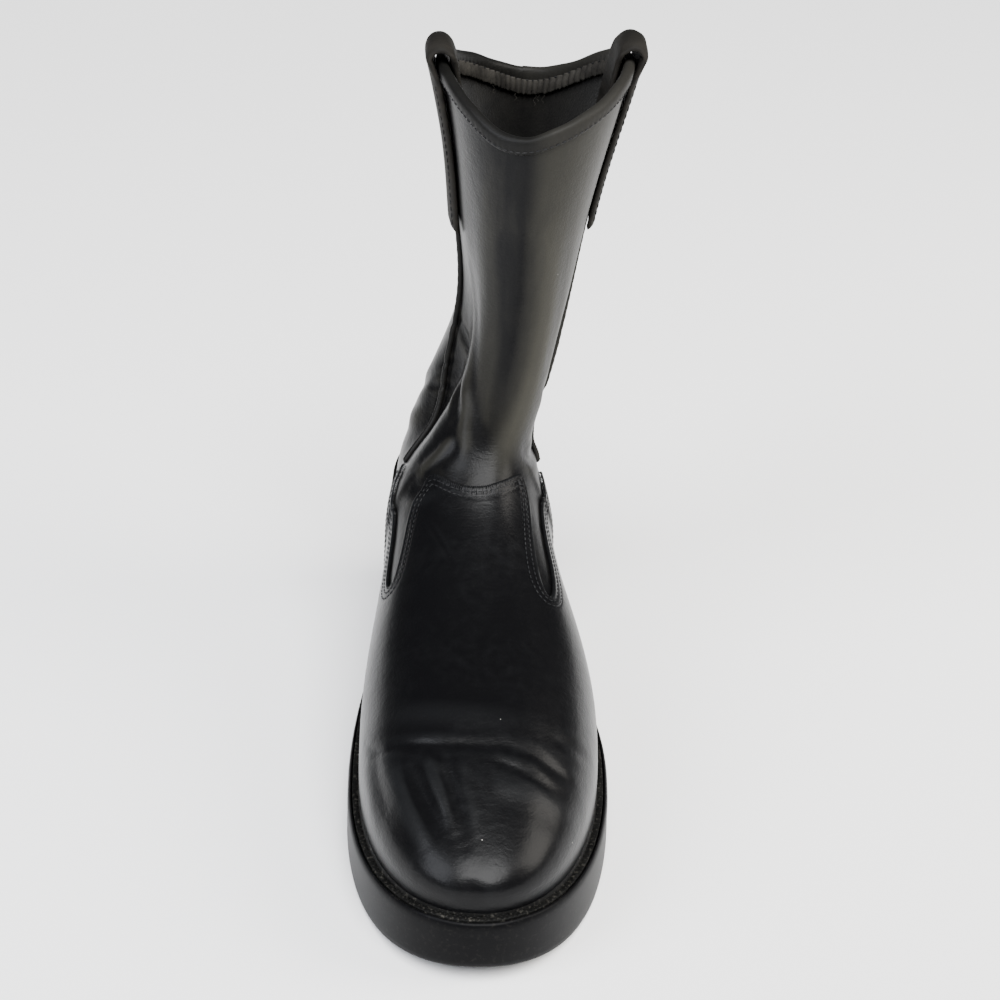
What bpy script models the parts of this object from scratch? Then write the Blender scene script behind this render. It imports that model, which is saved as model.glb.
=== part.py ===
"""Western boot, left foot, as one empty boot standing on its own sole.

Metres, +Z up, toe along -Y, outer side of the foot along +X. The middle of the
heel's resting face is at the origin.
"""
import bmesh
import bpy
import numpy as np
from mathutils import Vector, geometry

MM = 0.001

# Sizes of the last (the foot form inside the boot)
LAST_LENGTH = 291 * MM      # feather line at the back of the heel to the toe
BALL_WIDTH = 96 * MM        # over the leather at the ball
HEEL_BACK = 27.5 * MM       # from the middle of the heel to the feather line behind
HEEL_SEAT = 38 * MM         # floor to feather line at the heel
TOP_HEIGHT = 274 * MM       # floor to the dips of the collar
EAR_RISE = 20 * MM          # collar ears above its dips
SIDE_BULGE = 11 * MM        # feather line to the fullest part of the side wall
TOE_REACH = 88 * MM         # length of the rounding at the toe
HEEL_REACH = 46 * MM        # length of the rounding at the heel
OUTLINE_POWER = 2.3         # roundness of the outline, 2 is an ellipse
TOE_POWER = 2.0             # the same for the toe
TOE_SWING = 2.8 * MM        # toe drawn to the inner side
FORM_SHIFT = 10 * MM        # front and back profile measured from behind the origin

# Sizes of the pieces
UPPER_WALL = 2.2 * MM
PIECE_GAP = 0.3 * MM
OVERLAY_GAP = 0.6 * MM
OVERLAY_WALL = 1.4 * MM
INSOLE_WALL = 2.8 * MM
WELT_GAP = 1.2 * MM
WELT_THICK = 3.0 * MM
WELT_LIP = 2.0 * MM
WELT_LIP_WIDTH = 1.2 * MM
WELT_LIP_SLOPE = 0.8 * MM
WELT_EDGE = 1.2 * MM        # welt stops short of the sole's edge
HEEL_BLOCK = 20 * MM
HEEL_BREAST = -36 * MM
GROOVE_WIDTH = 4.5 * MM
GROOVE_DEPTH = 2.6 * MM
GROOVE_PITCH = 14 * MM
GROOVE_MARGIN = 6 * MM      # from the arch to the first groove under the forefoot
GROOVE_SIDE = 4 * MM        # a groove's end inside the feather line
HEEL_GROOVE_SIDE = 6 * MM
HEEL_GROOVES = 46 * MM      # from the heel breast to the rearmost groove
GROOVE_COUNT = {"outsole": 6, "heel": 3}
PIPING_WIDTH = 3.2 * MM
PIPING_RISE = 1.7 * MM
BINDING_DEPTH = 5.5 * MM
BINDING_WALL = 1.5 * MM
BINDING_RISE = 2.4 * MM     # top of the binding above the edge of the leather
BINDING_SHOULDER = 1.0 * MM
BINDING_CLEAR = 0.5 * MM    # between the edge of the leather and the binding's fold
STRAP_WIDTH = 27 * MM
STRAP_WALL = 2.6 * MM
STRAP_LOOP = 10.5 * MM      # top of the loop above the collar ear
LOOP_SHOULDER = 0.8 * MM    # the loop draws in from its legs
LOOP_CROWN = 1.8 * MM       # half width of the flat top of the loop

# Foot, one row per cross section from heel to toe.
# along: share of LAST_LENGTH; seat: share of HEEL_SEAT; medial, lateral: half
# widths as shares of BALL_WIDTH; roof: power of the arch over the section
FOOT = (
    # along seat  medial lateral roof
    (0.00, 1.000, 0.350, 0.350, 2.0),
    (0.15, 0.970, 0.355, 0.350, 2.0),
    (0.30, 0.860, 0.395, 0.385, 2.2),
    (0.42, 0.730, 0.440, 0.440, 2.5),
    (0.50, 0.660, 0.472, 0.488, 2.6),
    (0.60, 0.600, 0.500, 0.522, 2.5),
    (0.72, 0.545, 0.502, 0.508, 2.4),
    (0.86, 0.580, 0.492, 0.482, 2.4),
    (1.00, 0.740, 0.480, 0.460, 2.4),
)
# Front profile from the toe over the instep to the collar.
# along: share of LAST_LENGTH from the heel; height: share of TOP_HEIGHT
FRONT = (
    (1.000, 0.215), (0.900, 0.240), (0.810, 0.262), (0.715, 0.288), (0.620, 0.318),
    (0.530, 0.354), (0.445, 0.396), (0.385, 0.440), (0.347, 0.490), (0.330, 0.545),
    (0.325, 0.610), (0.328, 0.700), (0.338, 0.800), (0.350, 0.900), (0.360, 1.000),
)
# Back profile. height: share of TOP_HEIGHT; back: share of HEEL_BACK + FORM_SHIFT
BACK = (
    (0.139, 1.020), (0.180, 1.050), (0.230, 1.060), (0.300, 0.990), (0.375, 0.900),
    (0.450, 0.870), (0.540, 0.920), (0.660, 1.050), (0.800, 1.180), (1.000, 1.300),
)
# Shaft sections. height: share of TOP_HEIGHT; medial, lateral, lean: shares of
# BALL_WIDTH; power: roundness of the section
SHAFT = (
    # height medial lateral lean power
    (0.34, 0.330, 0.300, 0.000, 2.2),
    (0.40, 0.330, 0.275, 0.020, 2.2),
    (0.46, 0.325, 0.258, 0.060, 2.2),
    (0.52, 0.312, 0.262, 0.115, 2.2),
    (0.58, 0.275, 0.262, 0.155, 2.2),
    (0.68, 0.245, 0.268, 0.198, 2.1),
    (0.80, 0.283, 0.300, 0.222, 2.0),
    (0.95, 0.355, 0.365, 0.252, 2.0),
    (1.00, 0.385, 0.395, 0.258, 2.0),
    (1.09, 0.440, 0.450, 0.264, 2.0),
)
# Fold beside the instep. Its middle and its reach: y as a share of LAST_LENGTH, z as
# a share of TOP_HEIGHT. Its depth: share of the half width, by side
FOLD_MIDDLE = (-0.092, 0.535)
FOLD_REACH = (0.050, 0.135)
FOLD_DEPTH = {-1: 0.40, 1: 0.12}
# Heights where the foot turns into the shaft and where the shaft starts to lean,
# as shares of TOP_HEIGHT
FOOT_TO_SHAFT = (0.310, 0.467)
LEAN_START = (0.310, 0.420)
ROOF_CLIMB = 12.0           # slope of the foot's middle line behind the throat
# Rings over the form. ring: 0 feather line to 1 collar; front, back: shares of
# the length of the front and the back profile
RINGS = (
    (0.00, 0.000, 0.000), (0.10, 0.040, 0.050), (0.20, 0.090, 0.100),
    (0.30, 0.150, 0.150), (0.42, 0.270, 0.215), (0.52, 0.370, 0.270),
    (0.62, 0.460, 0.340), (0.72, 0.540, 0.440), (0.86, 0.750, 0.700),
    (1.00, 0.993, 0.980),
)
SAG_END = 0.45              # ring above which the rings no longer dip with the seat
SEAM_ANGLE = (118.0, 90.0)  # degrees from the toe at the feather line and the shaft
DIP_SKEW = (15.0, 8.0)      # degrees that front and back dip turn from the middle
SIDE_COLUMNS = 11           # columns of facets from toe to side seam and seam to heel
ROWS = (0.0, 0.05, 0.10, 0.15, 0.20, 0.25, 0.30, 0.35, 0.40, 0.45, 0.49, 0.53, 0.57,
        0.61, 0.65, 0.69, 0.73, 0.77, 0.81, 0.85, 0.89, 0.93, 0.965, 1.0)

# Edge of the vamp from the tab's middle round the side strip to the wing and down
# the side seam. around: 0 toe, 1 side seam, 2 heel; ring as above
VAMP_EDGE = {
    -1: ((0.00, 0.741), (0.25, 0.738), (0.42, 0.732), (0.545, 0.713), (0.625, 0.665),
         (0.665, 0.60), (0.655, 0.53), (0.66, 0.465), (0.71, 0.425), (0.77, 0.435),
         (0.82, 0.49), (0.88, 0.56), (0.94, 0.625), (0.975, 0.60), (0.98, 0.50),
         (0.98, 0.40), (0.985, 0.30), (0.985, 0.20), (0.985, 0.06)),
    1: ((0.00, 0.741), (0.20, 0.741), (0.42, 0.732), (0.55, 0.709), (0.605, 0.660),
        (0.585, 0.61), (0.52, 0.565), (0.48, 0.525), (0.51, 0.49), (0.58, 0.485),
        (0.66, 0.505), (0.76, 0.55), (0.88, 0.60), (0.95, 0.61), (0.98, 0.57),
        (0.98, 0.50), (0.98, 0.40), (0.985, 0.30), (0.985, 0.20), (0.985, 0.06)),
}
# Upper edge of the heel counter cover, from the side seam to the back
COUNTER_EDGE = ((1.005, 0.505), (1.20, 0.47), (1.45, 0.45), (1.70, 0.455), (1.90, 0.47),
                (2.00, 0.475))
OVERLAY_FOOT = 0.06         # ring where the overlays end above the welt
PIPING_RINGS = (0.65, 0.90)
STRAP_RINGS = (0.878, 0.90, 0.93, 0.955, 0.98)

# Sole. along: share of LAST_LENGTH; out: edge beyond the feather line, share of
# SOLE_OUT; under: underside, share of HEEL_BLOCK
SOLE_OUT = 7.0 * MM
TOE_SPRING = 9.0 * MM
SOLE = (
    (-0.05, 0.95, 1.00), (0.15, 0.92, 1.00), (0.27, 0.78, 1.00), (0.38, 0.72, 0.62),
    (0.45, 0.75, 0.22), (0.51, 0.85, 0.00), (0.65, 1.00, 0.00), (0.84, 1.00, 0.00),
    (1.05, 1.00, 0.00),
)
TREAD_FLAT = (0.52, 0.84)
# Walls of outsole and heel block from the top edge down. out: beyond the edge, share
# of SOLE_OUT; share: height
SOLE_WALL = (
    (-0.314, 1.00), (-0.071, 0.90), (0.0, 0.80), (-0.100, 0.77),
    (-0.100, 0.73), (0.0, 0.70), (0.071, 0.12), (-0.129, 0.00),
)
HEEL_WALL = ((-0.129, 1.00), (0.0, 0.92), (0.057, 0.10), (-0.114, 0.00))


def curve(rows, column, scale=1.0):
    """Smooth curve through one column of a table against its first column."""
    xs = np.array([row[0] for row in rows])
    ys = np.array([row[column] for row in rows]) * scale
    count, step = len(xs), np.diff(xs)
    matrix, right = np.eye(count), np.zeros(count)
    for i in range(1, count - 1):
        matrix[i, i - 1:i + 2] = step[i - 1], 2 * (step[i - 1] + step[i]), step[i]
        right[i] = 6 * ((ys[i + 1] - ys[i]) / step[i] - (ys[i] - ys[i - 1]) / step[i - 1])
    bend = np.linalg.solve(matrix, right)

    def value(x):
        x = np.clip(np.asarray(x, float), xs[0], xs[-1])
        i = np.clip(np.searchsorted(xs, x) - 1, 0, count - 2)
        a = (xs[i + 1] - x) / step[i]
        b = 1 - a
        return (a * ys[i] + b * ys[i + 1]
                + ((a ** 3 - a) * bend[i] + (b ** 3 - b) * bend[i + 1]) * step[i] ** 2 / 6)
    return value


def line(rows, column, scale=1.0):
    """Straight stretches through one column of a table."""
    xs = [row[0] for row in rows]
    ys = [row[column] * scale for row in rows]
    return lambda x: np.interp(x, xs, ys)


def ease(x, start, end):
    t = np.clip((x - start) / (end - start), 0, 1)
    return t * t * (3 - 2 * t)


# The form is worked out with y from the back shift and moved to the origin last
BACK_REACH = HEEL_BACK + FORM_SHIFT
TOE_Y = BACK_REACH - LAST_LENGTH
seat_curve = curve(FOOT, 1, HEEL_SEAT)
foot_width = {-1: curve(FOOT, 2, BALL_WIDTH), 1: curve(FOOT, 3, BALL_WIDTH)}
roof_power = curve(FOOT, 4)
back_curve = curve(BACK, 1, BACK_REACH)
shaft_width = {-1: curve(SHAFT, 1, BALL_WIDTH), 1: curve(SHAFT, 2, BALL_WIDTH)}
lean_curve = curve(SHAFT, 3, BALL_WIDTH)
shaft_power = curve(SHAFT, 4)


def along(y):
    return (BACK_REACH - np.asarray(y, float)) / LAST_LENGTH


def seat(y):
    return seat_curve(along(y))


def back(z):
    return back_curve(np.asarray(z) / TOP_HEIGHT)


def path_length(points):
    return np.concatenate([[0], np.cumsum(np.hypot(*np.diff(points, axis=0).T))])


def front_points():
    points = np.array([(BACK_REACH - s * LAST_LENGTH, h * TOP_HEIGHT) for s, h in FRONT])
    length = path_length(points)
    rows = [(d, y, z) for d, (y, z) in zip(length, points)]
    fine = np.linspace(0, length[-1], 600)
    return np.stack([curve(rows, 1)(fine), curve(rows, 2)(fine)], 1)


FRONT_LINE = front_points()
THROAT = int(np.argmax(FRONT_LINE[:, 0]))


def roof(y):
    """Height of the foot's middle line, which climbs steeply behind the throat."""
    rows = FRONT_LINE[:THROAT + 1]
    behind = np.clip(y - rows[-1, 0], 0, None)
    return np.interp(y, rows[:, 0], rows[:, 1]) + behind * ROOF_CLIMB


def toe_points():
    """Middle line round the toe, from the feather line to the toe's roof."""
    points, middle = [], TOE_Y + TOE_REACH
    for rise in np.linspace(0, SIDE_BULGE, 10)[:-1]:
        tuck = 0.03 * ((SIDE_BULGE - rise) / SIDE_BULGE) ** 2
        y = middle - TOE_REACH * (1 - tuck) ** (1 / TOE_POWER)
        points.append((y, float(seat(y)) + rise))
    for angle in np.linspace(0, np.pi / 2, 80):
        share = np.cos(angle) ** 2
        y = middle - TOE_REACH * share ** (1 / TOE_POWER)
        base = float(seat(y)) + SIDE_BULGE
        power = float(roof_power(along(y)))
        points.append((y, base + (float(roof(y)) - base) * (1 - share) ** (1 / power)))
    return np.array(points), middle


TOE_LINE, TOE_MIDDLE = toe_points()
FRONT_PATH = np.concatenate([TOE_LINE, FRONT_LINE[FRONT_LINE[:, 0] > TOE_MIDDLE + 2 * MM]])
FRONT_LENGTH = path_length(FRONT_PATH)
BACK_HEIGHTS = np.linspace(float(seat(BACK_REACH)), TOP_HEIGHT, 200)
BACK_PATH = np.stack([back(BACK_HEIGHTS), BACK_HEIGHTS], 1)
BACK_LENGTH = path_length(BACK_PATH)
ring_front = curve(RINGS, 1)
ring_back = curve(RINGS, 2)


def by_side(side, curves, at):
    return np.where(side > 0, curves[1](at), curves[-1](at))


def foot_half(y, z, side):
    """Half width of the foot at a point of its length and height."""
    share = along(y)
    toe = np.clip((TOE_MIDDLE - y) / TOE_REACH, 0, 1) ** TOE_POWER
    heel = np.clip((y - back(z) + HEEL_REACH) / HEEL_REACH, 0, 1) ** OUTLINE_POWER
    base = seat(y) + SIDE_BULGE
    above = np.clip((z - base) / (roof(y) - base), 0, 1) ** roof_power(share)
    below = 0.03 * np.clip((base - z) / SIDE_BULGE, 0, 1.5) ** 2
    left = np.clip((1 - heel) * (1 - np.where(z > base, above, below)) - toe, 0, 1)
    return by_side(side, foot_width, share) * left ** (1 / OUTLINE_POWER)


def shaft_half(y, z, side):
    """Half width of the shaft, with the fold beside the instep."""
    share = z / TOP_HEIGHT
    front = np.interp(z, FRONT_LINE[:, 1], FRONT_LINE[:, 0])
    rear = back(z)
    across = np.clip((y - (front + rear) / 2) / ((rear - front) / 2), -1, 1)
    power = shaft_power(share)
    fold = np.where(side > 0, FOLD_DEPTH[1], FOLD_DEPTH[-1]) * np.exp(
        -((y / LAST_LENGTH - FOLD_MIDDLE[0]) / FOLD_REACH[0]) ** 2
        - ((share - FOLD_MIDDLE[1]) / FOLD_REACH[1]) ** 2)
    round_share = (1 - np.abs(across) ** power) ** (1 / power)
    return by_side(side, shaft_width, share) * round_share * (1 - fold)


def sag(y):
    """Seat above the straight line from the toe's feather line to the heel's."""
    run = (y - FRONT_PATH[0, 0]) / (BACK_PATH[0, 0] - FRONT_PATH[0, 0])
    return seat(y) - FRONT_PATH[0, 1] - (BACK_PATH[0, 1] - FRONT_PATH[0, 1]) * run


def form(ring, around):
    """Point on the outside of the upper. around: 0 toe, 1 side seam, 2 heel."""
    ring, around = np.broadcast_arrays(np.asarray(ring, float), np.asarray(around, float))
    turn = np.abs(around)
    side = np.where(around < 0, -1, 1)
    seam = np.radians(SEAM_ANGLE[0] + (SEAM_ANGLE[1] - SEAM_ANGLE[0]) * ease(ring, 0, 0.8))
    angle = np.where(turn <= 1, turn * seam, seam + (turn - 1) * (np.pi - seam))
    share = (1 - np.cos(angle)) / 2
    front = np.clip(ring_front(ring), 0, 1) * FRONT_LENGTH[-1]
    rear = np.clip(ring_back(ring), 0, 1) * BACK_LENGTH[-1]
    front_y = np.interp(front, FRONT_LENGTH, FRONT_PATH[:, 0])
    front_z = np.interp(front, FRONT_LENGTH, FRONT_PATH[:, 1])
    rear_y = np.interp(rear, BACK_LENGTH, BACK_PATH[:, 0])
    y = front_y + (rear_y - front_y) * share
    z = front_z + (np.interp(rear, BACK_LENGTH, BACK_PATH[:, 1]) - front_z) * share
    bend = sag(y) - sag(front_y) * (1 - share) - sag(rear_y) * share
    z = z + bend * np.clip(1 - ring / SAG_END, 0, 1) ** 1.5
    skew = np.radians(np.where(angle < np.pi / 2, *DIP_SKEW)) * np.cos(angle) ** 2
    z = z + EAR_RISE * np.sin(side * angle + skew) ** 2 * ease(ring, 0.70, 1.0)
    blend = ease(z / TOP_HEIGHT, *FOOT_TO_SHAFT)
    half = (1 - blend) * foot_half(y, z, side) + blend * shaft_half(y, z, side)
    half = np.where((angle < 1e-6) | (angle > np.pi - 1e-6), 0, half)
    lean = lean_curve(z / TOP_HEIGHT) * ease(z / TOP_HEIGHT, *LEAN_START)
    toe_start = TOE_Y + 0.39 * LAST_LENGTH
    swing = TOE_SWING * np.clip((toe_start - y) / (toe_start - TOE_Y), 0, 1.2) ** 1.6
    return np.stack([side * half + lean - swing, y - FORM_SHIFT, z], -1)


def wrap(around):
    return (around + 2) % 4 - 2


def directions(ring, around):
    """Outward normal and upward direction of the form."""
    step = 0.02
    up = form(min(ring + step, 1), around) - form(max(ring - step, 0), around)
    round_ = form(ring, wrap(around + step)) - form(ring, wrap(around - step))
    normal = np.cross(round_, up)
    return normal / np.linalg.norm(normal), up / np.linalg.norm(up)


def off_form(ring, around, out):
    return form(ring, around) + directions(ring, around)[0] * out


def plan(around, out):
    """Feather line in plan, moved outward."""
    step = 0.01
    here = form(0, around)
    run = form(0, wrap(around + step)) - form(0, wrap(around - step))
    normal = np.array([run[1], -run[0]]) / np.hypot(run[0], run[1])
    return here[:2] + normal * out


def material(name, color, roughness, metallic=0.0):
    made = bpy.data.materials.new(name)
    made.use_nodes = True
    shader = made.node_tree.nodes["Principled BSDF"]
    shader.inputs["Base Color"].default_value = (*color, 1)
    shader.inputs["Roughness"].default_value = roughness
    shader.inputs["Metallic"].default_value = metallic
    return made


def finish(name, mesh, color, roughness, smooth=True, closed=True):
    """Turn a bmesh into a named object with its own material."""
    bmesh.ops.remove_doubles(mesh, verts=mesh.verts, dist=0.02 * MM)
    bmesh.ops.dissolve_degenerate(mesh, edges=mesh.edges, dist=0.005 * MM)
    if closed:
        bmesh.ops.recalc_face_normals(mesh, faces=mesh.faces)
    for face in mesh.faces:
        face.smooth = smooth
    data = bpy.data.meshes.new(name)
    mesh.to_mesh(data)
    mesh.free()
    piece = bpy.data.objects.new(name, data)
    bpy.context.scene.collection.objects.link(piece)
    data.materials.append(material(name + "_material", color, roughness))
    return piece


def sheet(columns, rows, point):
    """Grid laid over a surface: point(i, j) for column i and row j."""
    mesh = bmesh.new()
    bmesh.ops.create_grid(mesh, x_segments=columns, y_segments=rows, size=1)
    for vert in mesh.verts:
        i = round((vert.co.x + 1) / 2 * columns)
        j = round((vert.co.y + 1) / 2 * rows)
        vert.co = Vector(point(i, j))
    return mesh


def solid_sheet(name, mesh, thickness, offset, color, roughness):
    """Give an open sheet its wall."""
    piece = finish(name, mesh, color, roughness, closed=False)
    wall = piece.modifiers.new("wall", 'SOLIDIFY')
    wall.thickness = thickness
    wall.offset = offset
    wall.use_even_offset = True
    return piece


AROUND = np.linspace(-2, 2, 4 * SIDE_COLUMNS + 1)
LEATHER = (0.012, 0.013, 0.016)
RUBBER = (0.010, 0.010, 0.011)

for item in list(bpy.data.objects):
    bpy.data.objects.remove(item)

upper_mesh = sheet(len(AROUND) - 1, len(ROWS) - 1, lambda i, j: form(ROWS[j], AROUND[i]))
bmesh.ops.triangulate(upper_mesh, faces=upper_mesh.faces[:], quad_method='FIXED')
upper = solid_sheet("upper", upper_mesh, UPPER_WALL, -1, LEATHER, 0.5)


def off_facet(ring, around, out):
    """Point over the upper's own facets, moved outward."""
    i = int(np.clip(np.searchsorted(AROUND, around, 'right') - 1, 0, len(AROUND) - 2))
    j = int(np.clip(np.searchsorted(ROWS, ring, 'right') - 1, 0, len(ROWS) - 2))
    s = (around - AROUND[i]) / (AROUND[i + 1] - AROUND[i])
    t = (ring - ROWS[j]) / (ROWS[j + 1] - ROWS[j])
    corner = [[off_form(ROWS[j + b], AROUND[i + a], out) for b in (0, 1)] for a in (0, 1)]
    if s > t:
        return corner[0][0] * (1 - s) + corner[1][0] * (s - t) + corner[1][1] * t
    return corner[0][0] * (1 - t) + corner[0][1] * (t - s) + corner[1][1] * s


# Pieces that follow the feather line in plan
def sole_out(y):
    return line(SOLE, 1, SOLE_OUT)(along(y + FORM_SHIFT))


def sole_under(y):
    share = along(y + FORM_SHIFT)
    rise = np.clip((share - TREAD_FLAT[1]) / (1.02 - TREAD_FLAT[1]), 0, 1.2) ** 1.8
    return line(SOLE, 2, HEEL_BLOCK)(share) + TOE_SPRING * rise


def sole_top(y):
    return seat(y + FORM_SHIFT) - PIECE_GAP


def spine(around, end=0.9):
    """Point on the middle line of the sole that goes with a point of its edge."""
    y = form(0, abs(around))[1]
    middle = (HEEL_BACK + TOE_Y - FORM_SHIFT) / 2
    return np.array([0.0, middle + (y - middle) * end])


def edge_mesh(profile, around=AROUND):
    """Sheet round the sole; profile gives rows of (spine or edge, out, height)."""
    def point(i, j):
        on_spine, out, height = profile[j]
        xy = spine(around[i]) if on_spine else plan(around[i], out(plan(around[i], 0)[1]))
        return (xy[0], xy[1], height(xy[1]))
    return sheet(len(around) - 1, len(profile) - 1, point)


def slab_profile(wall, out, bottom, top):
    def row(extra, share):
        return (False, lambda y: out(y) + extra * SOLE_OUT,
                lambda y: bottom(y) + (top(y) - bottom(y)) * share)
    return [(True, None, top)] + [row(*item) for item in wall] + [(True, None, bottom)]


insole_wall = ((0.0, 1.0), (0.0, 0.0))
insole = finish("insole", edge_mesh(slab_profile(
    insole_wall, lambda y: -UPPER_WALL - 2 * PIECE_GAP,
    lambda y: seat(y + FORM_SHIFT) + PIECE_GAP,
    lambda y: seat(y + FORM_SHIFT) + PIECE_GAP + INSOLE_WALL)),
    (0.05, 0.04, 0.03), 0.8)

outsole = finish("outsole", edge_mesh(slab_profile(SOLE_WALL, sole_out, sole_under, sole_top)),
                 RUBBER, 0.6)

heel_mesh = edge_mesh(slab_profile(HEEL_WALL, sole_out, lambda y: 0.0 * y,
                                   lambda y: HEEL_BLOCK + 0.0 * y))
bmesh.ops.remove_doubles(heel_mesh, verts=heel_mesh.verts, dist=0.02 * MM)
cut = bmesh.ops.bisect_plane(
    heel_mesh, geom=heel_mesh.verts[:] + heel_mesh.edges[:] + heel_mesh.faces[:],
    plane_co=(0, HEEL_BREAST, 0), plane_no=(0, -1, 0), clear_outer=True)
bmesh.ops.holes_fill(heel_mesh, edges=[e for e in heel_mesh.edges if e.is_boundary])
heel = finish("heel", heel_mesh, RUBBER, 0.6, smooth=False)


def tread(target, first, count, reach):
    """Cut a row of cross grooves in the flat underside of a piece."""
    mesh = bmesh.new()
    for i in range(count):
        y = first - i * GROOVE_PITCH
        ends = [plan_edge(y, side) - side * reach for side in (-1, 1)]
        box = bmesh.ops.create_cube(mesh, size=1)["verts"]
        for vert in box:
            vert.co.x = ends[0] if vert.co.x < 0 else ends[1]
            vert.co.y = y + GROOVE_WIDTH * vert.co.y
            vert.co.z = GROOVE_DEPTH if vert.co.z > 0 else -GROOVE_DEPTH
    cutter_data = bpy.data.meshes.new("tread_cutter")
    mesh.to_mesh(cutter_data)
    mesh.free()
    cutter = bpy.data.objects.new("tread_cutter", cutter_data)
    bpy.context.scene.collection.objects.link(cutter)
    cut_mod = target.modifiers.new("tread", 'BOOLEAN')
    cut_mod.operation, cut_mod.solver, cut_mod.object = 'DIFFERENCE', 'EXACT', cutter
    graph = bpy.context.evaluated_depsgraph_get()
    result = bpy.data.meshes.new_from_object(target.evaluated_get(graph))
    target.modifiers.clear()
    target.data = result
    bpy.data.objects.remove(cutter)


def plan_edge(y, side):
    """Half width of the feather line at a place along the foot."""
    samples = [plan(side * a, 0) for a in np.linspace(0.02, 1.98, 120)]
    return float(np.interp(-y, [-p[1] for p in samples][::-1], [p[0] for p in samples][::-1]))


TREAD_START = BACK_REACH - FORM_SHIFT - TREAD_FLAT[0] * LAST_LENGTH
tread(outsole, TREAD_START - GROOVE_MARGIN, GROOVE_COUNT["outsole"], GROOVE_SIDE)
tread(heel, HEEL_BREAST + HEEL_GROOVES, GROOVE_COUNT["heel"], HEEL_GROOVE_SIDE)

# Welt: a strip round the feather line with a raised lip next to the upper
LIP_END = WELT_GAP + WELT_LIP_WIDTH
WELT_PROFILE = (
    (WELT_GAP, 0.0), (WELT_GAP, WELT_THICK + WELT_LIP), (LIP_END, WELT_THICK + WELT_LIP),
    (LIP_END + WELT_LIP_SLOPE, WELT_THICK),
)


def welt_point(i, j):
    here = plan(AROUND[i], 0)
    edge = sole_out(here[1]) - WELT_EDGE
    rows = list(WELT_PROFILE) + [(edge, WELT_THICK), (edge, 0.0), (WELT_GAP, 0.0)]
    out, rise = rows[j]
    x, y = plan(AROUND[i], max(out, 0) if out <= edge else edge)
    return (x, y, seat(y + FORM_SHIFT) + rise)


welt = finish("welt", sheet(len(AROUND) - 1, len(WELT_PROFILE) + 2, welt_point), RUBBER, 0.55)


# Overlays: the outline is filled with the upper's own grid points
def patch(name, outline, color, roughness):
    inner = [Vector((a, r)) for a in AROUND for r in ROWS]
    close = 0.012
    points = [Vector(p) for p in outline]
    count = len(points)
    inside, index = [], {}
    for p in inner:
        crossings, near = 0, False
        for k in range(count):
            a, b = points[k], points[(k + 1) % count]
            if (a.y > p.y) != (b.y > p.y) and p.x < a.x + (p.y - a.y) / (b.y - a.y) * (b.x - a.x):
                crossings += 1
            run = b - a
            t = min(max((p - a).dot(run) / run.length_squared, 0), 1)
            near = near or (p - a - run * t).length < close
        if crossings % 2 and not near:
            index[divmod(inner.index(p), len(ROWS))] = count + len(inside)
            inside.append(p)
    edges = [(k, (k + 1) % count) for k in range(count)]
    for (i, j), here in index.items():
        for there in ((i + 1, j), (i, j + 1), (i + 1, j + 1)):
            if there in index:
                edges.append((here, index[there]))
    verts, _, faces, *_ = geometry.delaunay_2d_cdt(points + inside, edges, [], 1, 1e-7)
    mesh = bmesh.new()
    made = [mesh.verts.new(off_facet(v.y, v.x, OVERLAY_GAP)) for v in verts]
    for face in faces:
        mesh.faces.new([made[k] for k in face])
    return solid_sheet(name, mesh, OVERLAY_WALL, 1, color, roughness)


def fine(points, step=0.045):
    """Put extra points on the long stretches of an outline."""
    out = []
    for a, b in zip(points, points[1:]):
        parts = max(1, int(np.ceil(np.hypot(b[0] - a[0], b[1] - a[1]) / step)))
        out += [tuple(np.array(a) + (np.array(b) - np.array(a)) * k / parts) for k in range(parts)]
    return out + [points[-1]]


vamp_line = ([(-a, r) for a, r in VAMP_EDGE[-1][::-1]] + list(VAMP_EDGE[1][1:]))
foot_line = [(a, OVERLAY_FOOT) for a in AROUND[::-1] if abs(a) < VAMP_EDGE[1][-1][0] - 0.02]
vamp = patch("vamp", fine(vamp_line, 0.06) + foot_line, LEATHER, 0.45)


def counter_mesh():
    """Both halves of the counter cover are joined at the back."""
    rows = 10
    arounds = np.linspace(COUNTER_EDGE[0][0], 4 - COUNTER_EDGE[0][0], 23)
    edge = line(COUNTER_EDGE, 1)

    def point(i, j):
        turn = arounds[i]
        around = turn if turn <= 2 else turn - 4
        high = float(edge(abs(around)))
        ring = OVERLAY_FOOT + (high - OVERLAY_FOOT) * j / rows
        return off_facet(ring, around, OVERLAY_GAP)
    return sheet(len(arounds) - 1, rows, point)


counter = solid_sheet("counter", counter_mesh(), OVERLAY_WALL, 1, LEATHER, 0.5)

# Piping over the side seams
PIPING_PROFILE = ((-0.5, 0.0), (-0.36, 0.7), (0.0, 1.0), (0.36, 0.7), (0.5, 0.0), (-0.5, 0.0))


def piping(name, side):
    rings = [r for r in ROWS if PIPING_RINGS[0] <= r <= PIPING_RINGS[1]]

    def point(i, j):
        wide, rise = PIPING_PROFILE[j]
        normal, up = directions(rings[i], side)
        over = np.cross(up, normal)
        return (form(rings[i], side) + normal * (OVERLAY_GAP + rise * PIPING_RISE)
                + over * wide * PIPING_WIDTH)
    mesh = sheet(len(rings) - 1, len(PIPING_PROFILE) - 1, point)
    bmesh.ops.remove_doubles(mesh, verts=mesh.verts, dist=0.02 * MM)
    bmesh.ops.holes_fill(mesh, edges=[e for e in mesh.edges if e.is_boundary])
    return finish(name, mesh, LEATHER, 0.5)


piping("seam_piping_medial", -1)
piping("seam_piping_lateral", 1)

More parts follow.
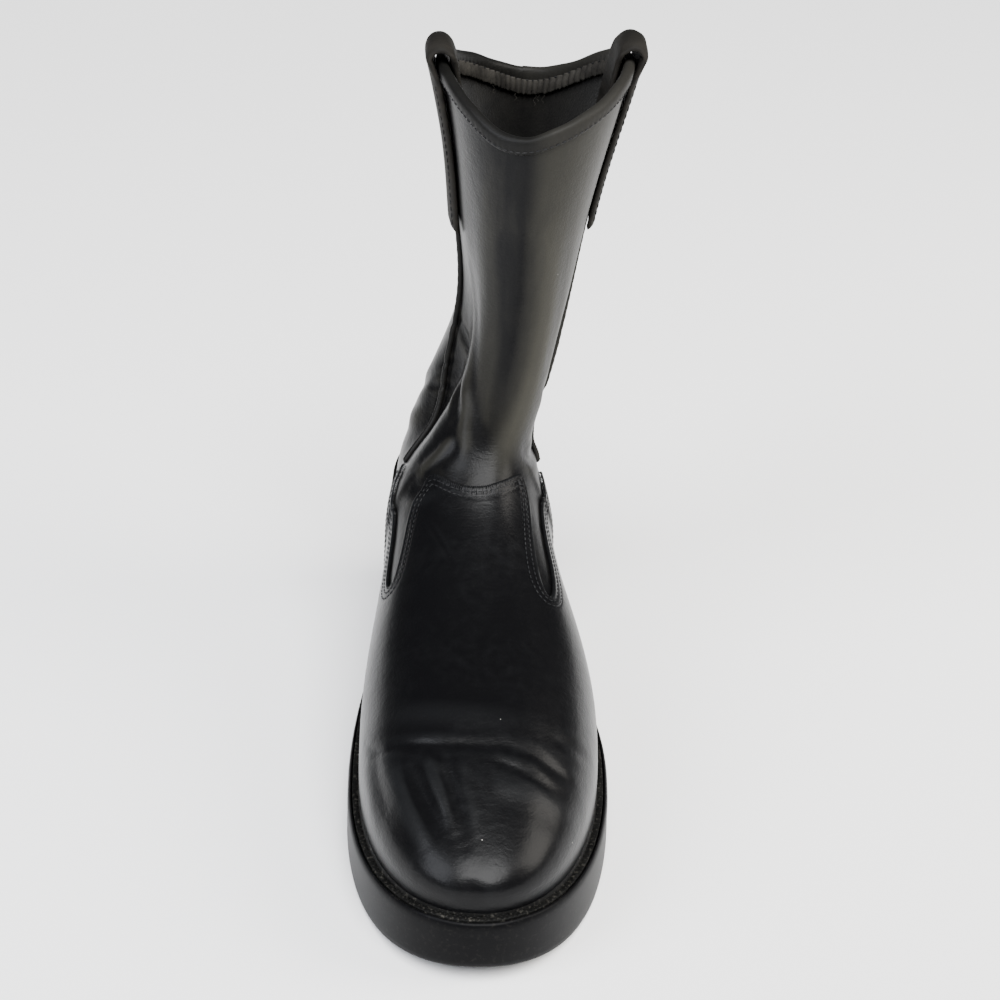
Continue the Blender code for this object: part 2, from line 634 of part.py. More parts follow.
# Binding folded over the collar
IN = -UPPER_WALL - OVERLAY_GAP
BINDING_PROFILE = (
    (OVERLAY_GAP, -BINDING_DEPTH), (OVERLAY_GAP + BINDING_WALL, -BINDING_DEPTH),
    (OVERLAY_GAP + BINDING_WALL, BINDING_SHOULDER), (0.0, BINDING_RISE),
    (-UPPER_WALL, BINDING_RISE), (IN - BINDING_WALL, BINDING_SHOULDER),
    (IN - BINDING_WALL, -BINDING_DEPTH), (IN, -BINDING_DEPTH), (IN, BINDING_CLEAR),
    (OVERLAY_GAP, BINDING_CLEAR), (OVERLAY_GAP, -BINDING_DEPTH),
)


def binding_point(i, j):
    out, rise = BINDING_PROFILE[j]
    normal, up = directions(1.0, AROUND[i])
    return form(1.0, AROUND[i]) + normal * out + up * rise


finish("collar_binding", sheet(len(AROUND) - 1, len(BINDING_PROFILE) - 1, binding_point),
       LEATHER, 0.5)

# Pull straps: outer leg up the seam, loop over the ear, inner leg
LOOP_OUT = OVERLAY_GAP + BINDING_WALL + PIECE_GAP + STRAP_WALL / 2
LOOP_IN = IN - BINDING_WALL - PIECE_GAP - STRAP_WALL / 2
LOOP_MIDDLE = (LOOP_OUT + LOOP_IN) / 2
LOOP_PATH = (
    # out, rise above the collar edge
    (LOOP_OUT, -BINDING_DEPTH), (LOOP_OUT, BINDING_SHOULDER),
    (LOOP_OUT - LOOP_SHOULDER, STRAP_LOOP * 0.65), (LOOP_MIDDLE + LOOP_CROWN, STRAP_LOOP * 0.95),
    (LOOP_MIDDLE - LOOP_CROWN, STRAP_LOOP * 0.95), (LOOP_IN + LOOP_SHOULDER, STRAP_LOOP * 0.65),
    (LOOP_IN, BINDING_SHOULDER), (LOOP_IN, -BINDING_DEPTH),
    (LOOP_IN, -2.2 * BINDING_DEPTH), (LOOP_IN, -3.4 * BINDING_DEPTH),
)
STRAP_COLUMNS = 4


def strap(name, side):
    """The legs follow the leather; the loop over the ear is flat across its width."""
    run = form(1.0, side + 0.05) - form(1.0, side - 0.05)
    spread = np.linalg.norm(run) / 0.1
    flat = run / np.linalg.norm(run)
    rows = len(STRAP_RINGS) + len(LOOP_PATH)

    def point(i, j):
        shift = (i / STRAP_COLUMNS - 0.5) * STRAP_WIDTH
        if j < len(STRAP_RINGS):
            ring = STRAP_RINGS[j]
            run = np.linalg.norm(form(ring, side + 0.05) - form(ring, side - 0.05)) / 0.1
            lift = OVERLAY_GAP + PIPING_RISE + PIECE_GAP + STRAP_WALL / 2
            return off_form(ring, side + shift / run, lift)
        out, rise = LOOP_PATH[j - len(STRAP_RINGS)]
        if rise > BINDING_SHOULDER:
            normal, up = directions(1.0, side)
            return form(1.0, side) + flat * shift + normal * out + up * rise
        around = side + shift / spread
        normal, up = directions(1.0, around)
        return form(1.0, around) + normal * out + up * rise
    return solid_sheet(name, sheet(STRAP_COLUMNS, rows - 1, point), STRAP_WALL, 0, LEATHER, 0.6)


strap("pull_strap_medial", -1)
strap("pull_strap_lateral", 1)
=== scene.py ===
# %% [markdown]
# A western boot, dressed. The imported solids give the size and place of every
# piece: the left boot of a pair, standing empty, toe along -Y, outer side along +X.
# They are loaded first and never changed. The dressed pieces are laid over the
# same form that the solids were worked out from, so they fit by construction.

# %% Load the solids
import bmesh
import bpy
import numpy as np
from mathutils import Euler, Matrix, Vector, geometry, kdtree


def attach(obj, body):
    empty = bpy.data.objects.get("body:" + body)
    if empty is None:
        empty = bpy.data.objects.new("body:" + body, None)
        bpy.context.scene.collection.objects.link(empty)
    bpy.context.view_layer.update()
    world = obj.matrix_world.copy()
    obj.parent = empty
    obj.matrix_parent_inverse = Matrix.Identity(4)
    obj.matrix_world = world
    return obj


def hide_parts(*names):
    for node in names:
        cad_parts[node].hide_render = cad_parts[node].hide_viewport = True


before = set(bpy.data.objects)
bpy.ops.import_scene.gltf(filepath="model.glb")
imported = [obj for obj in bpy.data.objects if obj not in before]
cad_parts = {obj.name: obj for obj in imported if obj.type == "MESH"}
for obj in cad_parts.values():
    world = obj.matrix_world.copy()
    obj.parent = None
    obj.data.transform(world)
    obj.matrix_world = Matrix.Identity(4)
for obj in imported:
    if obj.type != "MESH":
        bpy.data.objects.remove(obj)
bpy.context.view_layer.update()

MM = 0.001

# %% [markdown]
# A last is the wooden or plastic foot that a boot is pulled over. Everything on the
# boot follows it. Its sizes are named once, and tables of cross sections hold
# shares of them: a maker's model sheet does the same.

# %% Sizes of the last
LAST_LENGTH = 291 * MM      # feather line at the heel to the toe
BALL_WIDTH = 96 * MM        # over the leather at the ball
HEEL_BACK = 27.5 * MM
HEEL_SEAT = 38 * MM
TOP_HEIGHT = 274 * MM
EAR_RISE = 20 * MM
SIDE_BULGE = 11 * MM
TOE_REACH = 88 * MM
HEEL_REACH = 46 * MM
OUTLINE_POWER = 2.3
TOE_POWER = 2.0
TOE_SWING = 2.8 * MM
FORM_SHIFT = 10 * MM        # profiles are measured from this far behind the origin
UPPER_WALL = 2.2 * MM
BACK_REACH = HEEL_BACK + FORM_SHIFT
TOE_Y = BACK_REACH - LAST_LENGTH
print("length and ball width, mm:", round(LAST_LENGTH / MM), round(BALL_WIDTH / MM))

# %% [markdown]
# Each row of a table is one cross section. FOOT and FRONT run along the last; BACK,
# SHAFT and RINGS run up it. The numbers are shares of the sizes above, so the boot
# keeps its character when a size changes.

# %% Tables of the last
# along, seat, medial, lateral, roof
FOOT = (
    (0.00, 1.000, 0.350, 0.350, 2.0), (0.15, 0.970, 0.355, 0.350, 2.0),
    (0.30, 0.860, 0.395, 0.385, 2.2), (0.42, 0.730, 0.440, 0.440, 2.5),
    (0.50, 0.660, 0.472, 0.488, 2.6), (0.60, 0.600, 0.500, 0.522, 2.5),
    (0.72, 0.545, 0.502, 0.508, 2.4), (0.86, 0.580, 0.492, 0.482, 2.4),
    (1.00, 0.740, 0.480, 0.460, 2.4),
)
# along, height
FRONT = (
    (1.000, 0.215), (0.900, 0.240), (0.810, 0.262), (0.715, 0.288), (0.620, 0.318),
    (0.530, 0.354), (0.445, 0.396), (0.385, 0.440), (0.347, 0.490), (0.330, 0.545),
    (0.325, 0.610), (0.328, 0.700), (0.338, 0.800), (0.350, 0.900), (0.360, 1.000),
)
# height, back
BACK = (
    (0.139, 1.020), (0.180, 1.050), (0.230, 1.060), (0.300, 0.990), (0.375, 0.900),
    (0.450, 0.870), (0.540, 0.920), (0.660, 1.050), (0.800, 1.180), (1.000, 1.300),
)
# height, medial, lateral, lean, power
SHAFT = (
    (0.34, 0.330, 0.300, 0.000, 2.2), (0.40, 0.330, 0.275, 0.020, 2.2),
    (0.46, 0.325, 0.258, 0.060, 2.2), (0.52, 0.312, 0.262, 0.115, 2.2),
    (0.58, 0.275, 0.262, 0.155, 2.2), (0.68, 0.245, 0.268, 0.198, 2.1),
    (0.80, 0.283, 0.300, 0.222, 2.0), (0.95, 0.355, 0.365, 0.252, 2.0),
    (1.00, 0.385, 0.395, 0.258, 2.0), (1.09, 0.440, 0.450, 0.264, 2.0),
)
# ring, share of the front path, share of the back path
RINGS = (
    (0.00, 0.000, 0.000), (0.10, 0.040, 0.050), (0.20, 0.090, 0.100),
    (0.30, 0.150, 0.150), (0.42, 0.270, 0.215), (0.52, 0.370, 0.270),
    (0.62, 0.460, 0.340), (0.72, 0.540, 0.440), (0.86, 0.750, 0.700),
    (1.00, 0.993, 0.980),
)
# shares of LAST_LENGTH and TOP_HEIGHT
FOLD_MIDDLE = (-0.092, 0.535)
FOLD_REACH = (0.050, 0.135)
FOLD_DEPTH = {-1: 0.40, 1: 0.12}
FOOT_TO_SHAFT = (0.310, 0.467)
LEAN_START = (0.310, 0.420)
ROOF_CLIMB = 12.0
SAG_END = 0.45
SEAM_ANGLE = (118.0, 90.0)
SEAM_SETTLE = 0.8
DIP_SKEW = (15.0, 8.0)
EAR_START = 0.70
TUCK = 0.03
SWING_START = 0.39
print("table rows:", [len(rows) for rows in (FOOT, FRONT, BACK, SHAFT, RINGS)])

# %% [markdown]
# A table has only a few rows. A natural spline gives every place between them, with
# no kink that the light would find in shiny leather.

# %% Curves through the tables
def curve(rows, column, scale=1.0):
    xs = np.array([row[0] for row in rows])
    ys = np.array([row[column] for row in rows]) * scale
    count, step = len(xs), np.diff(xs)
    matrix, right = np.eye(count), np.zeros(count)
    for i in range(1, count - 1):
        matrix[i, i - 1:i + 2] = step[i - 1], 2 * (step[i - 1] + step[i]), step[i]
        right[i] = 6 * ((ys[i + 1] - ys[i]) / step[i] - (ys[i] - ys[i - 1]) / step[i - 1])
    bend = np.linalg.solve(matrix, right)

    def value(x):
        x = np.clip(np.asarray(x, float), xs[0], xs[-1])
        i = np.clip(np.searchsorted(xs, x) - 1, 0, count - 2)
        a = (xs[i + 1] - x) / step[i]
        b = 1 - a
        return (a * ys[i] + b * ys[i + 1]
                + ((a ** 3 - a) * bend[i] + (b ** 3 - b) * bend[i + 1]) * step[i] ** 2 / 6)
    return value


def ease(x, start, end):
    t = np.clip((x - start) / (end - start), 0, 1)
    return t * t * (3 - 2 * t)


seat_curve = curve(FOOT, 1, HEEL_SEAT)
foot_width = {-1: curve(FOOT, 2, BALL_WIDTH), 1: curve(FOOT, 3, BALL_WIDTH)}
roof_power = curve(FOOT, 4)
back_curve = curve(BACK, 1, BACK_REACH)
shaft_width = {-1: curve(SHAFT, 1, BALL_WIDTH), 1: curve(SHAFT, 2, BALL_WIDTH)}
lean_curve = curve(SHAFT, 3, BALL_WIDTH)
shaft_power = curve(SHAFT, 4)
ring_front = curve(RINGS, 1)
ring_back = curve(RINGS, 2)
print("ball half widths, mm:", round(float(foot_width[-1](0.72)) / MM, 1),
      round(float(foot_width[1](0.72)) / MM, 1))

# %% [markdown]
# The side view comes first: the seat under the foot, the back line, and the front
# line from the toe over the instep to the collar. Lengths along these lines tell how
# much leather lies between two points.

# %% Profiles of the last
def along(y):
    return (BACK_REACH - np.asarray(y, float)) / LAST_LENGTH


def seat(y):
    return seat_curve(along(y))


def back(z):
    return back_curve(np.asarray(z) / TOP_HEIGHT)


def path_length(points):
    return np.concatenate([[0], np.cumsum(np.hypot(*np.diff(points, axis=0).T))])


def front_points():
    points = np.array([(BACK_REACH - s * LAST_LENGTH, h * TOP_HEIGHT) for s, h in FRONT])
    length = path_length(points)
    rows = [(d, y, z) for d, (y, z) in zip(length, points)]
    fine = np.linspace(0, length[-1], 2400)
    return np.stack([curve(rows, 1)(fine), curve(rows, 2)(fine)], 1)


FRONT_LINE = front_points()
THROAT = int(np.argmax(FRONT_LINE[:, 0]))


def roof(y):
    line = FRONT_LINE[:THROAT + 1]
    past = np.clip(y - line[-1, 0], 0, None)
    return np.interp(y, line[:, 0], line[:, 1]) + past * ROOF_CLIMB


def toe_points():
    points, middle = [], TOE_Y + TOE_REACH
    for rise in np.linspace(0, SIDE_BULGE, 40)[:-1]:
        tuck = TUCK * ((SIDE_BULGE - rise) / SIDE_BULGE) ** 2
        y = middle - TOE_REACH * (1 - tuck) ** (1 / TOE_POWER)
        points.append((y, float(seat(y)) + rise))
    for angle in np.linspace(0, np.pi / 2, 400):
        share = np.cos(angle) ** 2
        y = middle - TOE_REACH * share ** (1 / TOE_POWER)
        base = float(seat(y)) + SIDE_BULGE
        power = float(roof_power(along(y)))
        points.append((y, base + (float(roof(y)) - base) * (1 - share) ** (1 / power)))
    return np.array(points), middle


TOE_LINE, TOE_MIDDLE = toe_points()
FRONT_PATH = np.concatenate([TOE_LINE, FRONT_LINE[FRONT_LINE[:, 0] > TOE_MIDDLE + 0.4 * MM]])
FRONT_LENGTH = path_length(FRONT_PATH)
BACK_HEIGHTS = np.linspace(float(seat(BACK_REACH)), TOP_HEIGHT, 1200)
BACK_PATH = np.stack([back(BACK_HEIGHTS), BACK_HEIGHTS], 1)
BACK_LENGTH = path_length(BACK_PATH)
print("front path, mm:", round(FRONT_LENGTH[-1] / MM),
      "back path, mm:", round(BACK_LENGTH[-1] / MM))

# %% [markdown]
# The upper is a cup: closed rings climb from the feather line, where leather meets
# sole, to the collar. A ring number from 0 to 1 and a place around it (0 at the toe,
# 1 and -1 at the side seams, 2 at the heel) name any point of the leather.

# %% The form of the boot
def by_side(side, curves, at):
    return np.where(side > 0, curves[1](at), curves[-1](at))


def foot_half(y, z, side):
    share = along(y)
    toe = np.clip((TOE_MIDDLE - y) / TOE_REACH, 0, 1) ** TOE_POWER
    heel = np.clip((y - back(z) + HEEL_REACH) / HEEL_REACH, 0, 1) ** OUTLINE_POWER
    base = seat(y) + SIDE_BULGE
    above = np.clip((z - base) / (roof(y) - base), 0, 1) ** roof_power(share)
    below = TUCK * np.clip((base - z) / SIDE_BULGE, 0, 1.5) ** 2
    left = np.clip((1 - heel) * (1 - np.where(z > base, above, below)) - toe, 0, 1)
    return by_side(side, foot_width, share) * left ** (1 / OUTLINE_POWER)


def front_at(z):
    return np.interp(z, FRONT_LINE[:, 1], FRONT_LINE[:, 0])


def shaft_half(y, z, side):
    share = z / TOP_HEIGHT
    front, rear = front_at(z), back(z)
    across = np.clip((y - (front + rear) / 2) / ((rear - front) / 2), -1, 1)
    power = shaft_power(share)
    fold = np.where(side > 0, FOLD_DEPTH[1], FOLD_DEPTH[-1]) * np.exp(
        -((y / LAST_LENGTH - FOLD_MIDDLE[0]) / FOLD_REACH[0]) ** 2
        - ((share - FOLD_MIDDLE[1]) / FOLD_REACH[1]) ** 2)
    half = by_side(side, shaft_width, share) * (1 - np.abs(across) ** power) ** (1 / power)
    return half * (1 - fold)


def sag(y):
    """Seat above the straight line from the toe's feather line to the heel's."""
    run = (y - FRONT_PATH[0, 0]) / (BACK_PATH[0, 0] - FRONT_PATH[0, 0])
    return seat(y) - FRONT_PATH[0, 1] - (BACK_PATH[0, 1] - FRONT_PATH[0, 1]) * run


def form(ring, around):
    ring, around = np.broadcast_arrays(np.asarray(ring, float), np.asarray(around, float))
    around = (around + 2) % 4 - 2
    turn = np.abs(around)
    side = np.where(around < 0, -1, 1)
    seam = np.radians(SEAM_ANGLE[0] + (SEAM_ANGLE[1] - SEAM_ANGLE[0]) * ease(ring, 0, SEAM_SETTLE))
    angle = np.where(turn <= 1, turn * seam, seam + (turn - 1) * (np.pi - seam))
    share = (1 - np.cos(angle)) / 2
    front = np.clip(ring_front(ring), 0, 1) * FRONT_LENGTH[-1]
    rear = np.clip(ring_back(ring), 0, 1) * BACK_LENGTH[-1]
    front_y = np.interp(front, FRONT_LENGTH, FRONT_PATH[:, 0])
    front_z = np.interp(front, FRONT_LENGTH, FRONT_PATH[:, 1])
    rear_y = np.interp(rear, BACK_LENGTH, BACK_PATH[:, 0])
    y = front_y + (rear_y - front_y) * share
    z = front_z + (np.interp(rear, BACK_LENGTH, BACK_PATH[:, 1]) - front_z) * share
    bend = sag(y) - sag(front_y) * (1 - share) - sag(rear_y) * share
    z = z + bend * np.clip(1 - ring / SAG_END, 0, 1) ** 1.5
    skew = np.radians(np.where(angle < np.pi / 2, *DIP_SKEW)) * np.cos(angle) ** 2
    low = z
    z = z + EAR_RISE * np.sin(side * angle + skew) ** 2 * ease(ring, EAR_START, 1.0)
    y = y + (front_at(z) - front_at(low)) * (1 - share) ** 2 + (back(z) - back(low)) * share ** 2
    blend = ease(z / TOP_HEIGHT, *FOOT_TO_SHAFT)
    half = (1 - blend) * foot_half(y, z, side) + blend * shaft_half(y, z, side)
    half = np.where((angle < 1e-6) | (angle > np.pi - 1e-6), 0, half)
    lean = lean_curve(z / TOP_HEIGHT) * ease(z / TOP_HEIGHT, *LEAN_START)
    toe_start = TOE_Y + SWING_START * LAST_LENGTH
    swing = TOE_SWING * np.clip((toe_start - y) / (toe_start - TOE_Y), 0, 1.2) ** 1.6
    return np.stack([side * half + lean - swing, y - FORM_SHIFT, z], -1)


def unit(v):
    return v / np.maximum(np.linalg.norm(v, axis=-1, keepdims=True), 1e-12)


RING_STEP, AROUND_STEP = 0.006, 0.018


def directions(ring, around):
    """Outward, upward and round directions of the form, of unit length."""
    ring, around = np.asarray(ring, float), np.asarray(around, float)
    up = (form(np.clip(ring + RING_STEP, 0, 1), around)
          - form(np.clip(ring - RING_STEP, 0, 1), around))
    turn = form(ring, around + AROUND_STEP) - form(ring, around - AROUND_STEP)
    return unit(np.cross(turn, up)), unit(up), unit(turn)


print("toe, collar front, collar back, mm:",
      [[round(float(c) / MM, 1) for c in form(r, a)] for r, a in ((0, 0), (1, 0), (1, 2))])

# %% [markdown]
# Worn leather keeps the folds of walking. Each one is a soft trough or ridge along a
# line on the form, deep in the middle and running out at its ends. The lines are
# given with width and depth in millimetres, and every leather layer takes them.

# %% Creases of wear
# points (around, ring); half width; depth, negative for a ridge
CREASES = (
    # across the ball, where the foot bends
    (((-0.5, 0.2), (-0.42, 0.248), (-0.34, 0.3), (-0.25, 0.331), (-0.15, 0.349),
      (-0.05, 0.357), (0.03, 0.356)), 2.0, 0.5),
    (((-0.27, 0.32), (-0.19, 0.335), (-0.1, 0.345), (0.00, 0.35)), 3.4, 0.35),
    (((0.00, 0.352), (0.07, 0.353), (0.17, 0.335), (0.24, 0.306), (0.3, 0.262),
      (0.34, 0.206)), 2.6, 0.4),
    (((0.02, 0.341), (0.1, 0.325), (0.19, 0.292), (0.25, 0.242)), 2.0, 0.22),
    (((0.28, 0.335), (0.38, 0.28), (0.45, 0.21)), 2.8, 0.35),
    (((-0.46, 0.3), (-0.33, 0.352), (-0.18, 0.384), (0.00, 0.392), (0.18, 0.375)), 6.0, -0.25),
    # dents fanning over the inner toe, with ridges between them
    (((-0.26, 0.318), (-0.2, 0.278), (-0.14, 0.246), (-0.09, 0.198)), 3.6, 0.75),
    (((-0.11, 0.335), (-0.08, 0.29), (-0.06, 0.248), (-0.04, 0.189)), 3.2, 0.65),
    (((-0.18, 0.316), (-0.13, 0.292), (-0.08, 0.246), (-0.06, 0.198)), 2.6, -0.5),
    (((-0.32, 0.266), (-0.27, 0.24), (-0.21, 0.204), (-0.14, 0.163)), 3.8, -0.5),
    (((-0.44, 0.24), (-0.38, 0.205), (-0.3, 0.165)), 3.8, 0.6),
    # broad ridge on the outer toe
    (((0.02, 0.31), (0.11, 0.294), (0.22, 0.246), (0.3, 0.163)), 4.6, -0.4),
    # small dip in the middle of the toe between two shiny spots
    (((-0.02, 0.125), (-0.02, 0.091), (-0.02, 0.048)), 3.8, 0.45),
    # front of the shaft hanging over the inner ankle
    (((-0.72, 0.87), (-0.46, 0.818), (-0.28, 0.788), (-0.19, 0.764)), 3.2, -0.8),
    (((-0.98, 0.812), (-0.7, 0.804), (-0.5, 0.797), (-0.36, 0.791)), 2.6, 1.4),
    (((-0.34, 0.776), (-0.44, 0.758), (-0.57, 0.73), (-0.66, 0.706)), 2.6, -0.9),
    (((-0.5, 0.715), (-0.62, 0.68), (-0.74, 0.645)), 3.6, 0.8),
    # small wrinkles beside the inner seam
    (((-1.18, 0.786), (-1.03, 0.802), (-0.92, 0.816)), 1.3, 0.45),
    (((-1.1, 0.762), (-0.98, 0.778), (-0.9, 0.788)), 1.3, 0.45),
    (((-1.12, 0.738), (-1.00, 0.754), (-0.9, 0.765)), 1.5, 0.45),
    (((-1.14, 0.75), (-1.36, 0.7), (-1.58, 0.66)), 3.5, 0.9),
    (((-1.14, 0.69), (-1.34, 0.64), (-1.6, 0.62)), 4.5, -0.8),
    # the same on the outer ankle, shallower
    (((0.55, 0.8), (0.86, 0.76), (1.22, 0.73)), 3.0, 0.7),
    (((0.5, 0.755), (0.8, 0.7), (1.15, 0.66)), 3.2, 0.8),
    (((1.05, 0.8), (1.4, 0.75), (1.72, 0.74)), 3.4, 0.8),
    (((1.00, 0.7), (1.34, 0.66), (1.7, 0.67)), 3.8, 0.8),
    # back of the ankle
    (((-1.55, 0.74), (-1.85, 0.7), (-2.1, 0.7), (-2.4, 0.73)), 3.4, 1.0),
    (((-1.6, 0.66), (-1.88, 0.62), (-2.12, 0.62), (-2.36, 0.66)), 3.6, 0.9),
    # light bends of the shaft
    (((-0.39, 0.97), (-0.41, 0.9), (-0.27, 0.835), (-0.1, 0.788)), 7.0, -0.6),
    (((0.24, 0.93), (0.28, 0.87), (0.24, 0.8), (0.16, 0.75)), 5.0, -0.6),
    (((1.45, 0.95), (1.5, 0.88), (1.4, 0.82)), 6.0, 0.7),
    (((-1.5, 0.96), (-1.46, 0.88), (-1.52, 0.82)), 6.0, 0.7),
    # fine lines across the tab
    (((-0.44, 0.651), (-0.29, 0.637), (-0.15, 0.607)), 1.1, 0.2),
)


def crease_lines():
    lines = []
    for points, width, depth in CREASES:
        rows = [(i, a, r) for i, (a, r) in enumerate(points)]
        t = np.linspace(0, len(points) - 1, 80)
        place = form(curve(rows, 2)(t), curve(rows, 1)(t))
        fade = np.sin(np.pi * np.clip(t / (len(points) - 1), 0.02, 0.98)) ** 0.6
        lines.append((place, fade, width * MM, depth * MM))
    return lines


CREASE_LINES = crease_lines()


# leather pushed out of a trough rises beside it: height, place and width of that
# lip, as shares of the trough
LIP = (0.35, 1.9, 0.9)


def relief(points):
    """How far the folds lift (or sink) the leather at each point of the form."""
    flat = points.reshape(-1, 3)
    lift = np.zeros(len(flat))
    for line, fade, width, depth in CREASE_LINES:
        low, high = line.min(0) - 4 * width, line.max(0) + 4 * width
        near = np.where(np.all((flat > low) & (flat < high), axis=1))[0]
        if not len(near):
            continue
        gap = np.linalg.norm(flat[near, None, :] - line[None, :, :], axis=2)
        k = gap.argmin(1)
        r = gap[np.arange(len(near)), k] / width
        shape = np.exp(-r ** 2) - LIP[0] * np.exp(-((r - LIP[1]) / LIP[2]) ** 2)
        lift[near] -= depth * fade[k] * shape
    return lift.reshape(points.shape[:-1])


print("folds:", len(CREASE_LINES))

# %% [markdown]
# Small helpers: a colour from its sRGB hex value, a mesh from a grid that is bent
# over the form, and one function that adds a shader node with settings and links.

# %% Helpers for meshes and nodes
def hex_color(code):
    parts = [int(code[i:i + 2], 16) / 255 for i in (1, 3, 5)]
    linear = [c / 12.92 if c <= 0.04045 else ((c + 0.055) / 1.055) ** 2.4 for c in parts]
    return (*linear, 1.0)


def add_node(tree, kind, settings=None, inputs=None):
    """Adds a node; inputs may be plain values or the sockets to link from."""
    node = tree.nodes.new(kind)
    for key, value in (settings or {}).items():
        setattr(node, key, value)
    for key, value in (inputs or {}).items():
        if isinstance(value, bpy.types.NodeSocket):
            tree.links.new(value, node.inputs[key])
        else:
            node.inputs[key].default_value = value
    return node


def linked(name, mesh):
    """Turns a bmesh into an object of the scene."""
    data = bpy.data.meshes.new(name)
    mesh.to_mesh(data)
    mesh.free()
    made = bpy.data.objects.new(name, data)
    bpy.context.scene.collection.objects.link(made)
    return made


def as_piece(name, mesh, finish, nodes=()):
    """Makes an object of a bmesh, gives it a finish, hangs it on the root empty and hides the
    solids it stands for.
    """
    for face in mesh.faces:
        face.smooth = True
    piece = linked(name, mesh)
    piece.data.materials.append(finish)
    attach(piece, "root")
    if nodes:
        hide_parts(*nodes)
    print(name, "faces:", len(piece.data.polygons))
    return piece


def bent_grid(columns, rows, place, flip=False):
    """A grid of columns by rows quads; place(i, j) takes and gives whole arrays."""
    mesh = bmesh.new()
    bmesh.ops.create_grid(mesh, x_segments=columns, y_segments=rows, size=1)
    spots = np.array([vert.co[:2] for vert in mesh.verts])
    i = np.rint((spots[:, 0] + 1) / 2 * columns).astype(int)
    j = np.rint((spots[:, 1] + 1) / 2 * rows).astype(int)
    for vert, spot in zip(mesh.verts, place(i, j)):
        vert.co = spot
    bmesh.ops.remove_doubles(mesh, verts=mesh.verts, dist=0.01 * MM)
    if flip:
        bmesh.ops.reverse_faces(mesh, faces=mesh.faces)
    return mesh

# %% [markdown]
# The finish of the boot is full-grain cowhide, drum dyed black and waxed. Dye leaves
# it almost black, wax gives a broad soft shine, and wear turns raised places matt and
# grey. The outer half of the leg above the ankle is painted lighter grey too: that is
# painted light, as if lit from that side, with some wear. Grain, fine wrinkles and dust
# are bump and colour patterns in real millimetres on Object coordinates.

# %% Leather
def new_finish(name):
    """A material with its node tree, its shader and Object coordinates."""
    made = bpy.data.materials.new(name)
    made.use_nodes = True
    tree = made.node_tree
    place = add_node(tree, 'ShaderNodeTexCoord').outputs["Object"]
    return made, tree, tree.nodes["Principled BSDF"], place


def stretched(tree, place, scale):
    return add_node(tree, 'ShaderNodeMapping', None, {"Vector": place, "Scale": scale}).outputs[0]


def noise(tree, place, size, detail, roughness=0.5, distortion=0.0):
    """Clouds of about the given size in metres."""
    return add_node(tree, 'ShaderNodeTexNoise', None, {
        "Vector": place, "Scale": 1 / size, "Detail": detail, "Roughness": roughness,
        "Distortion": distortion}).outputs["Fac"]


def spread(tree, value, low, high, start=0.0, end=1.0):
    """Stretches what lies between low and high to start and end."""
    return add_node(tree, 'ShaderNodeMapRange', None, {
        "Value": value, "From Min": low, "From Max": high, "To Min": start,
        "To Max": end}).outputs[0]


def sum_of(tree, operation, *values):
    return add_node(tree, 'ShaderNodeMath', {"operation": operation, "use_clamp": True},
                    dict(enumerate(values))).outputs[0]


def blend_colors(tree, factor, first, second):
    """Mixes two colours, each a hex code or a socket."""
    first, second = (hex_color(c) if isinstance(c, str) else c for c in (first, second))
    return add_node(tree, 'ShaderNodeMix', {"data_type": 'RGBA'}, {
        0: factor, 6: first, 7: second}).outputs[2]


def bump(tree, height, strength, depth, below=None):
    inputs = {"Height": height, "Strength": strength, "Distance": depth}
    if below is not None:
        inputs["Normal"] = below
    return add_node(tree, 'ShaderNodeBump', None, inputs).outputs[0]


def worn_leather(name, dyed, worn, shine, coat, grain, wrinkle, dust):
    made, tree, shader, place = new_finish(name)
    clouds = noise(tree, place, 35 * MM, 6, roughness=0.62)
    streaks = noise(tree, stretched(tree, place, (1.0, 1.0, 0.22)), 4.5 * MM, 4)
    pores = noise(tree, place, 0.6 * MM, 2)
    folds = noise(tree, stretched(tree, place, (0.55, 1.0, 2.4)), 3.2 * MM, 5, 0.55, 0.6)
    pebbles = add_node(tree, 'ShaderNodeTexVoronoi', {"feature": 'SMOOTH_F1'}, {
        "Vector": place, "Scale": 1 / (1.1 * MM), "Smoothness": 0.6}).outputs["Distance"]
    # the stored attribute holds wear and painted light: it turns the outer half of the leg lighter
    # grey, as if lit from that side
    wear_and_painted_light = add_node(tree, 'ShaderNodeAttribute', {"attribute_name": "wear_and_painted_light"}).outputs["Fac"]
    patchy = sum_of(tree, 'MULTIPLY', spread(tree, clouds, 0.38, 0.72),
                    spread(tree, streaks, 0.35, 0.8))
    all_wear_and_painted_light = sum_of(tree, 'MULTIPLY_ADD', patchy, 0.30, wear_and_painted_light)
    base = blend_colors(tree, all_wear_and_painted_light, dyed, worn)
    # dust lies in a few cells of a coarse pattern, as a speck in the middle of each
    cells = add_node(tree, 'ShaderNodeTexVoronoi', None, {"Vector": place, "Scale": 1 / (9 * MM)})
    chance = add_node(tree, 'ShaderNodeSeparateColor', None, {"Color": cells.outputs["Color"]})
    speck = sum_of(tree, 'MULTIPLY', spread(tree, cells.outputs["Distance"], 0.016, 0.034, 1, 0),
                   sum_of(tree, 'GREATER_THAN', chance.outputs[0], 1 - 0.30 * dust))
    tree.links.new(blend_colors(tree, speck, base, "#8b8a84"), shader.inputs["Base Color"])
    rough = spread(tree, all_wear_and_painted_light, 0, 1, shine, min(shine + 0.24, 0.9))
    tree.links.new(rough, shader.inputs["Roughness"])
    for key, value in (("Coat Weight", coat), ("Coat Roughness", 0.25), ("IOR", 1.5),
                       ("Specular IOR Level", 0.08)):
        shader.inputs[key].default_value = value
    surface = bump(tree, pebbles, 0.35 * grain, 0.12 * MM)
    surface = bump(tree, pores, 0.30 * grain, 0.08 * MM, surface)
    surface = bump(tree, folds, 0.5 * wrinkle, 0.5 * MM, surface)
    surface = bump(tree, clouds, 0.35, 1.6 * MM, surface)
    tree.links.new(surface, shader.inputs["Normal"])
    return made
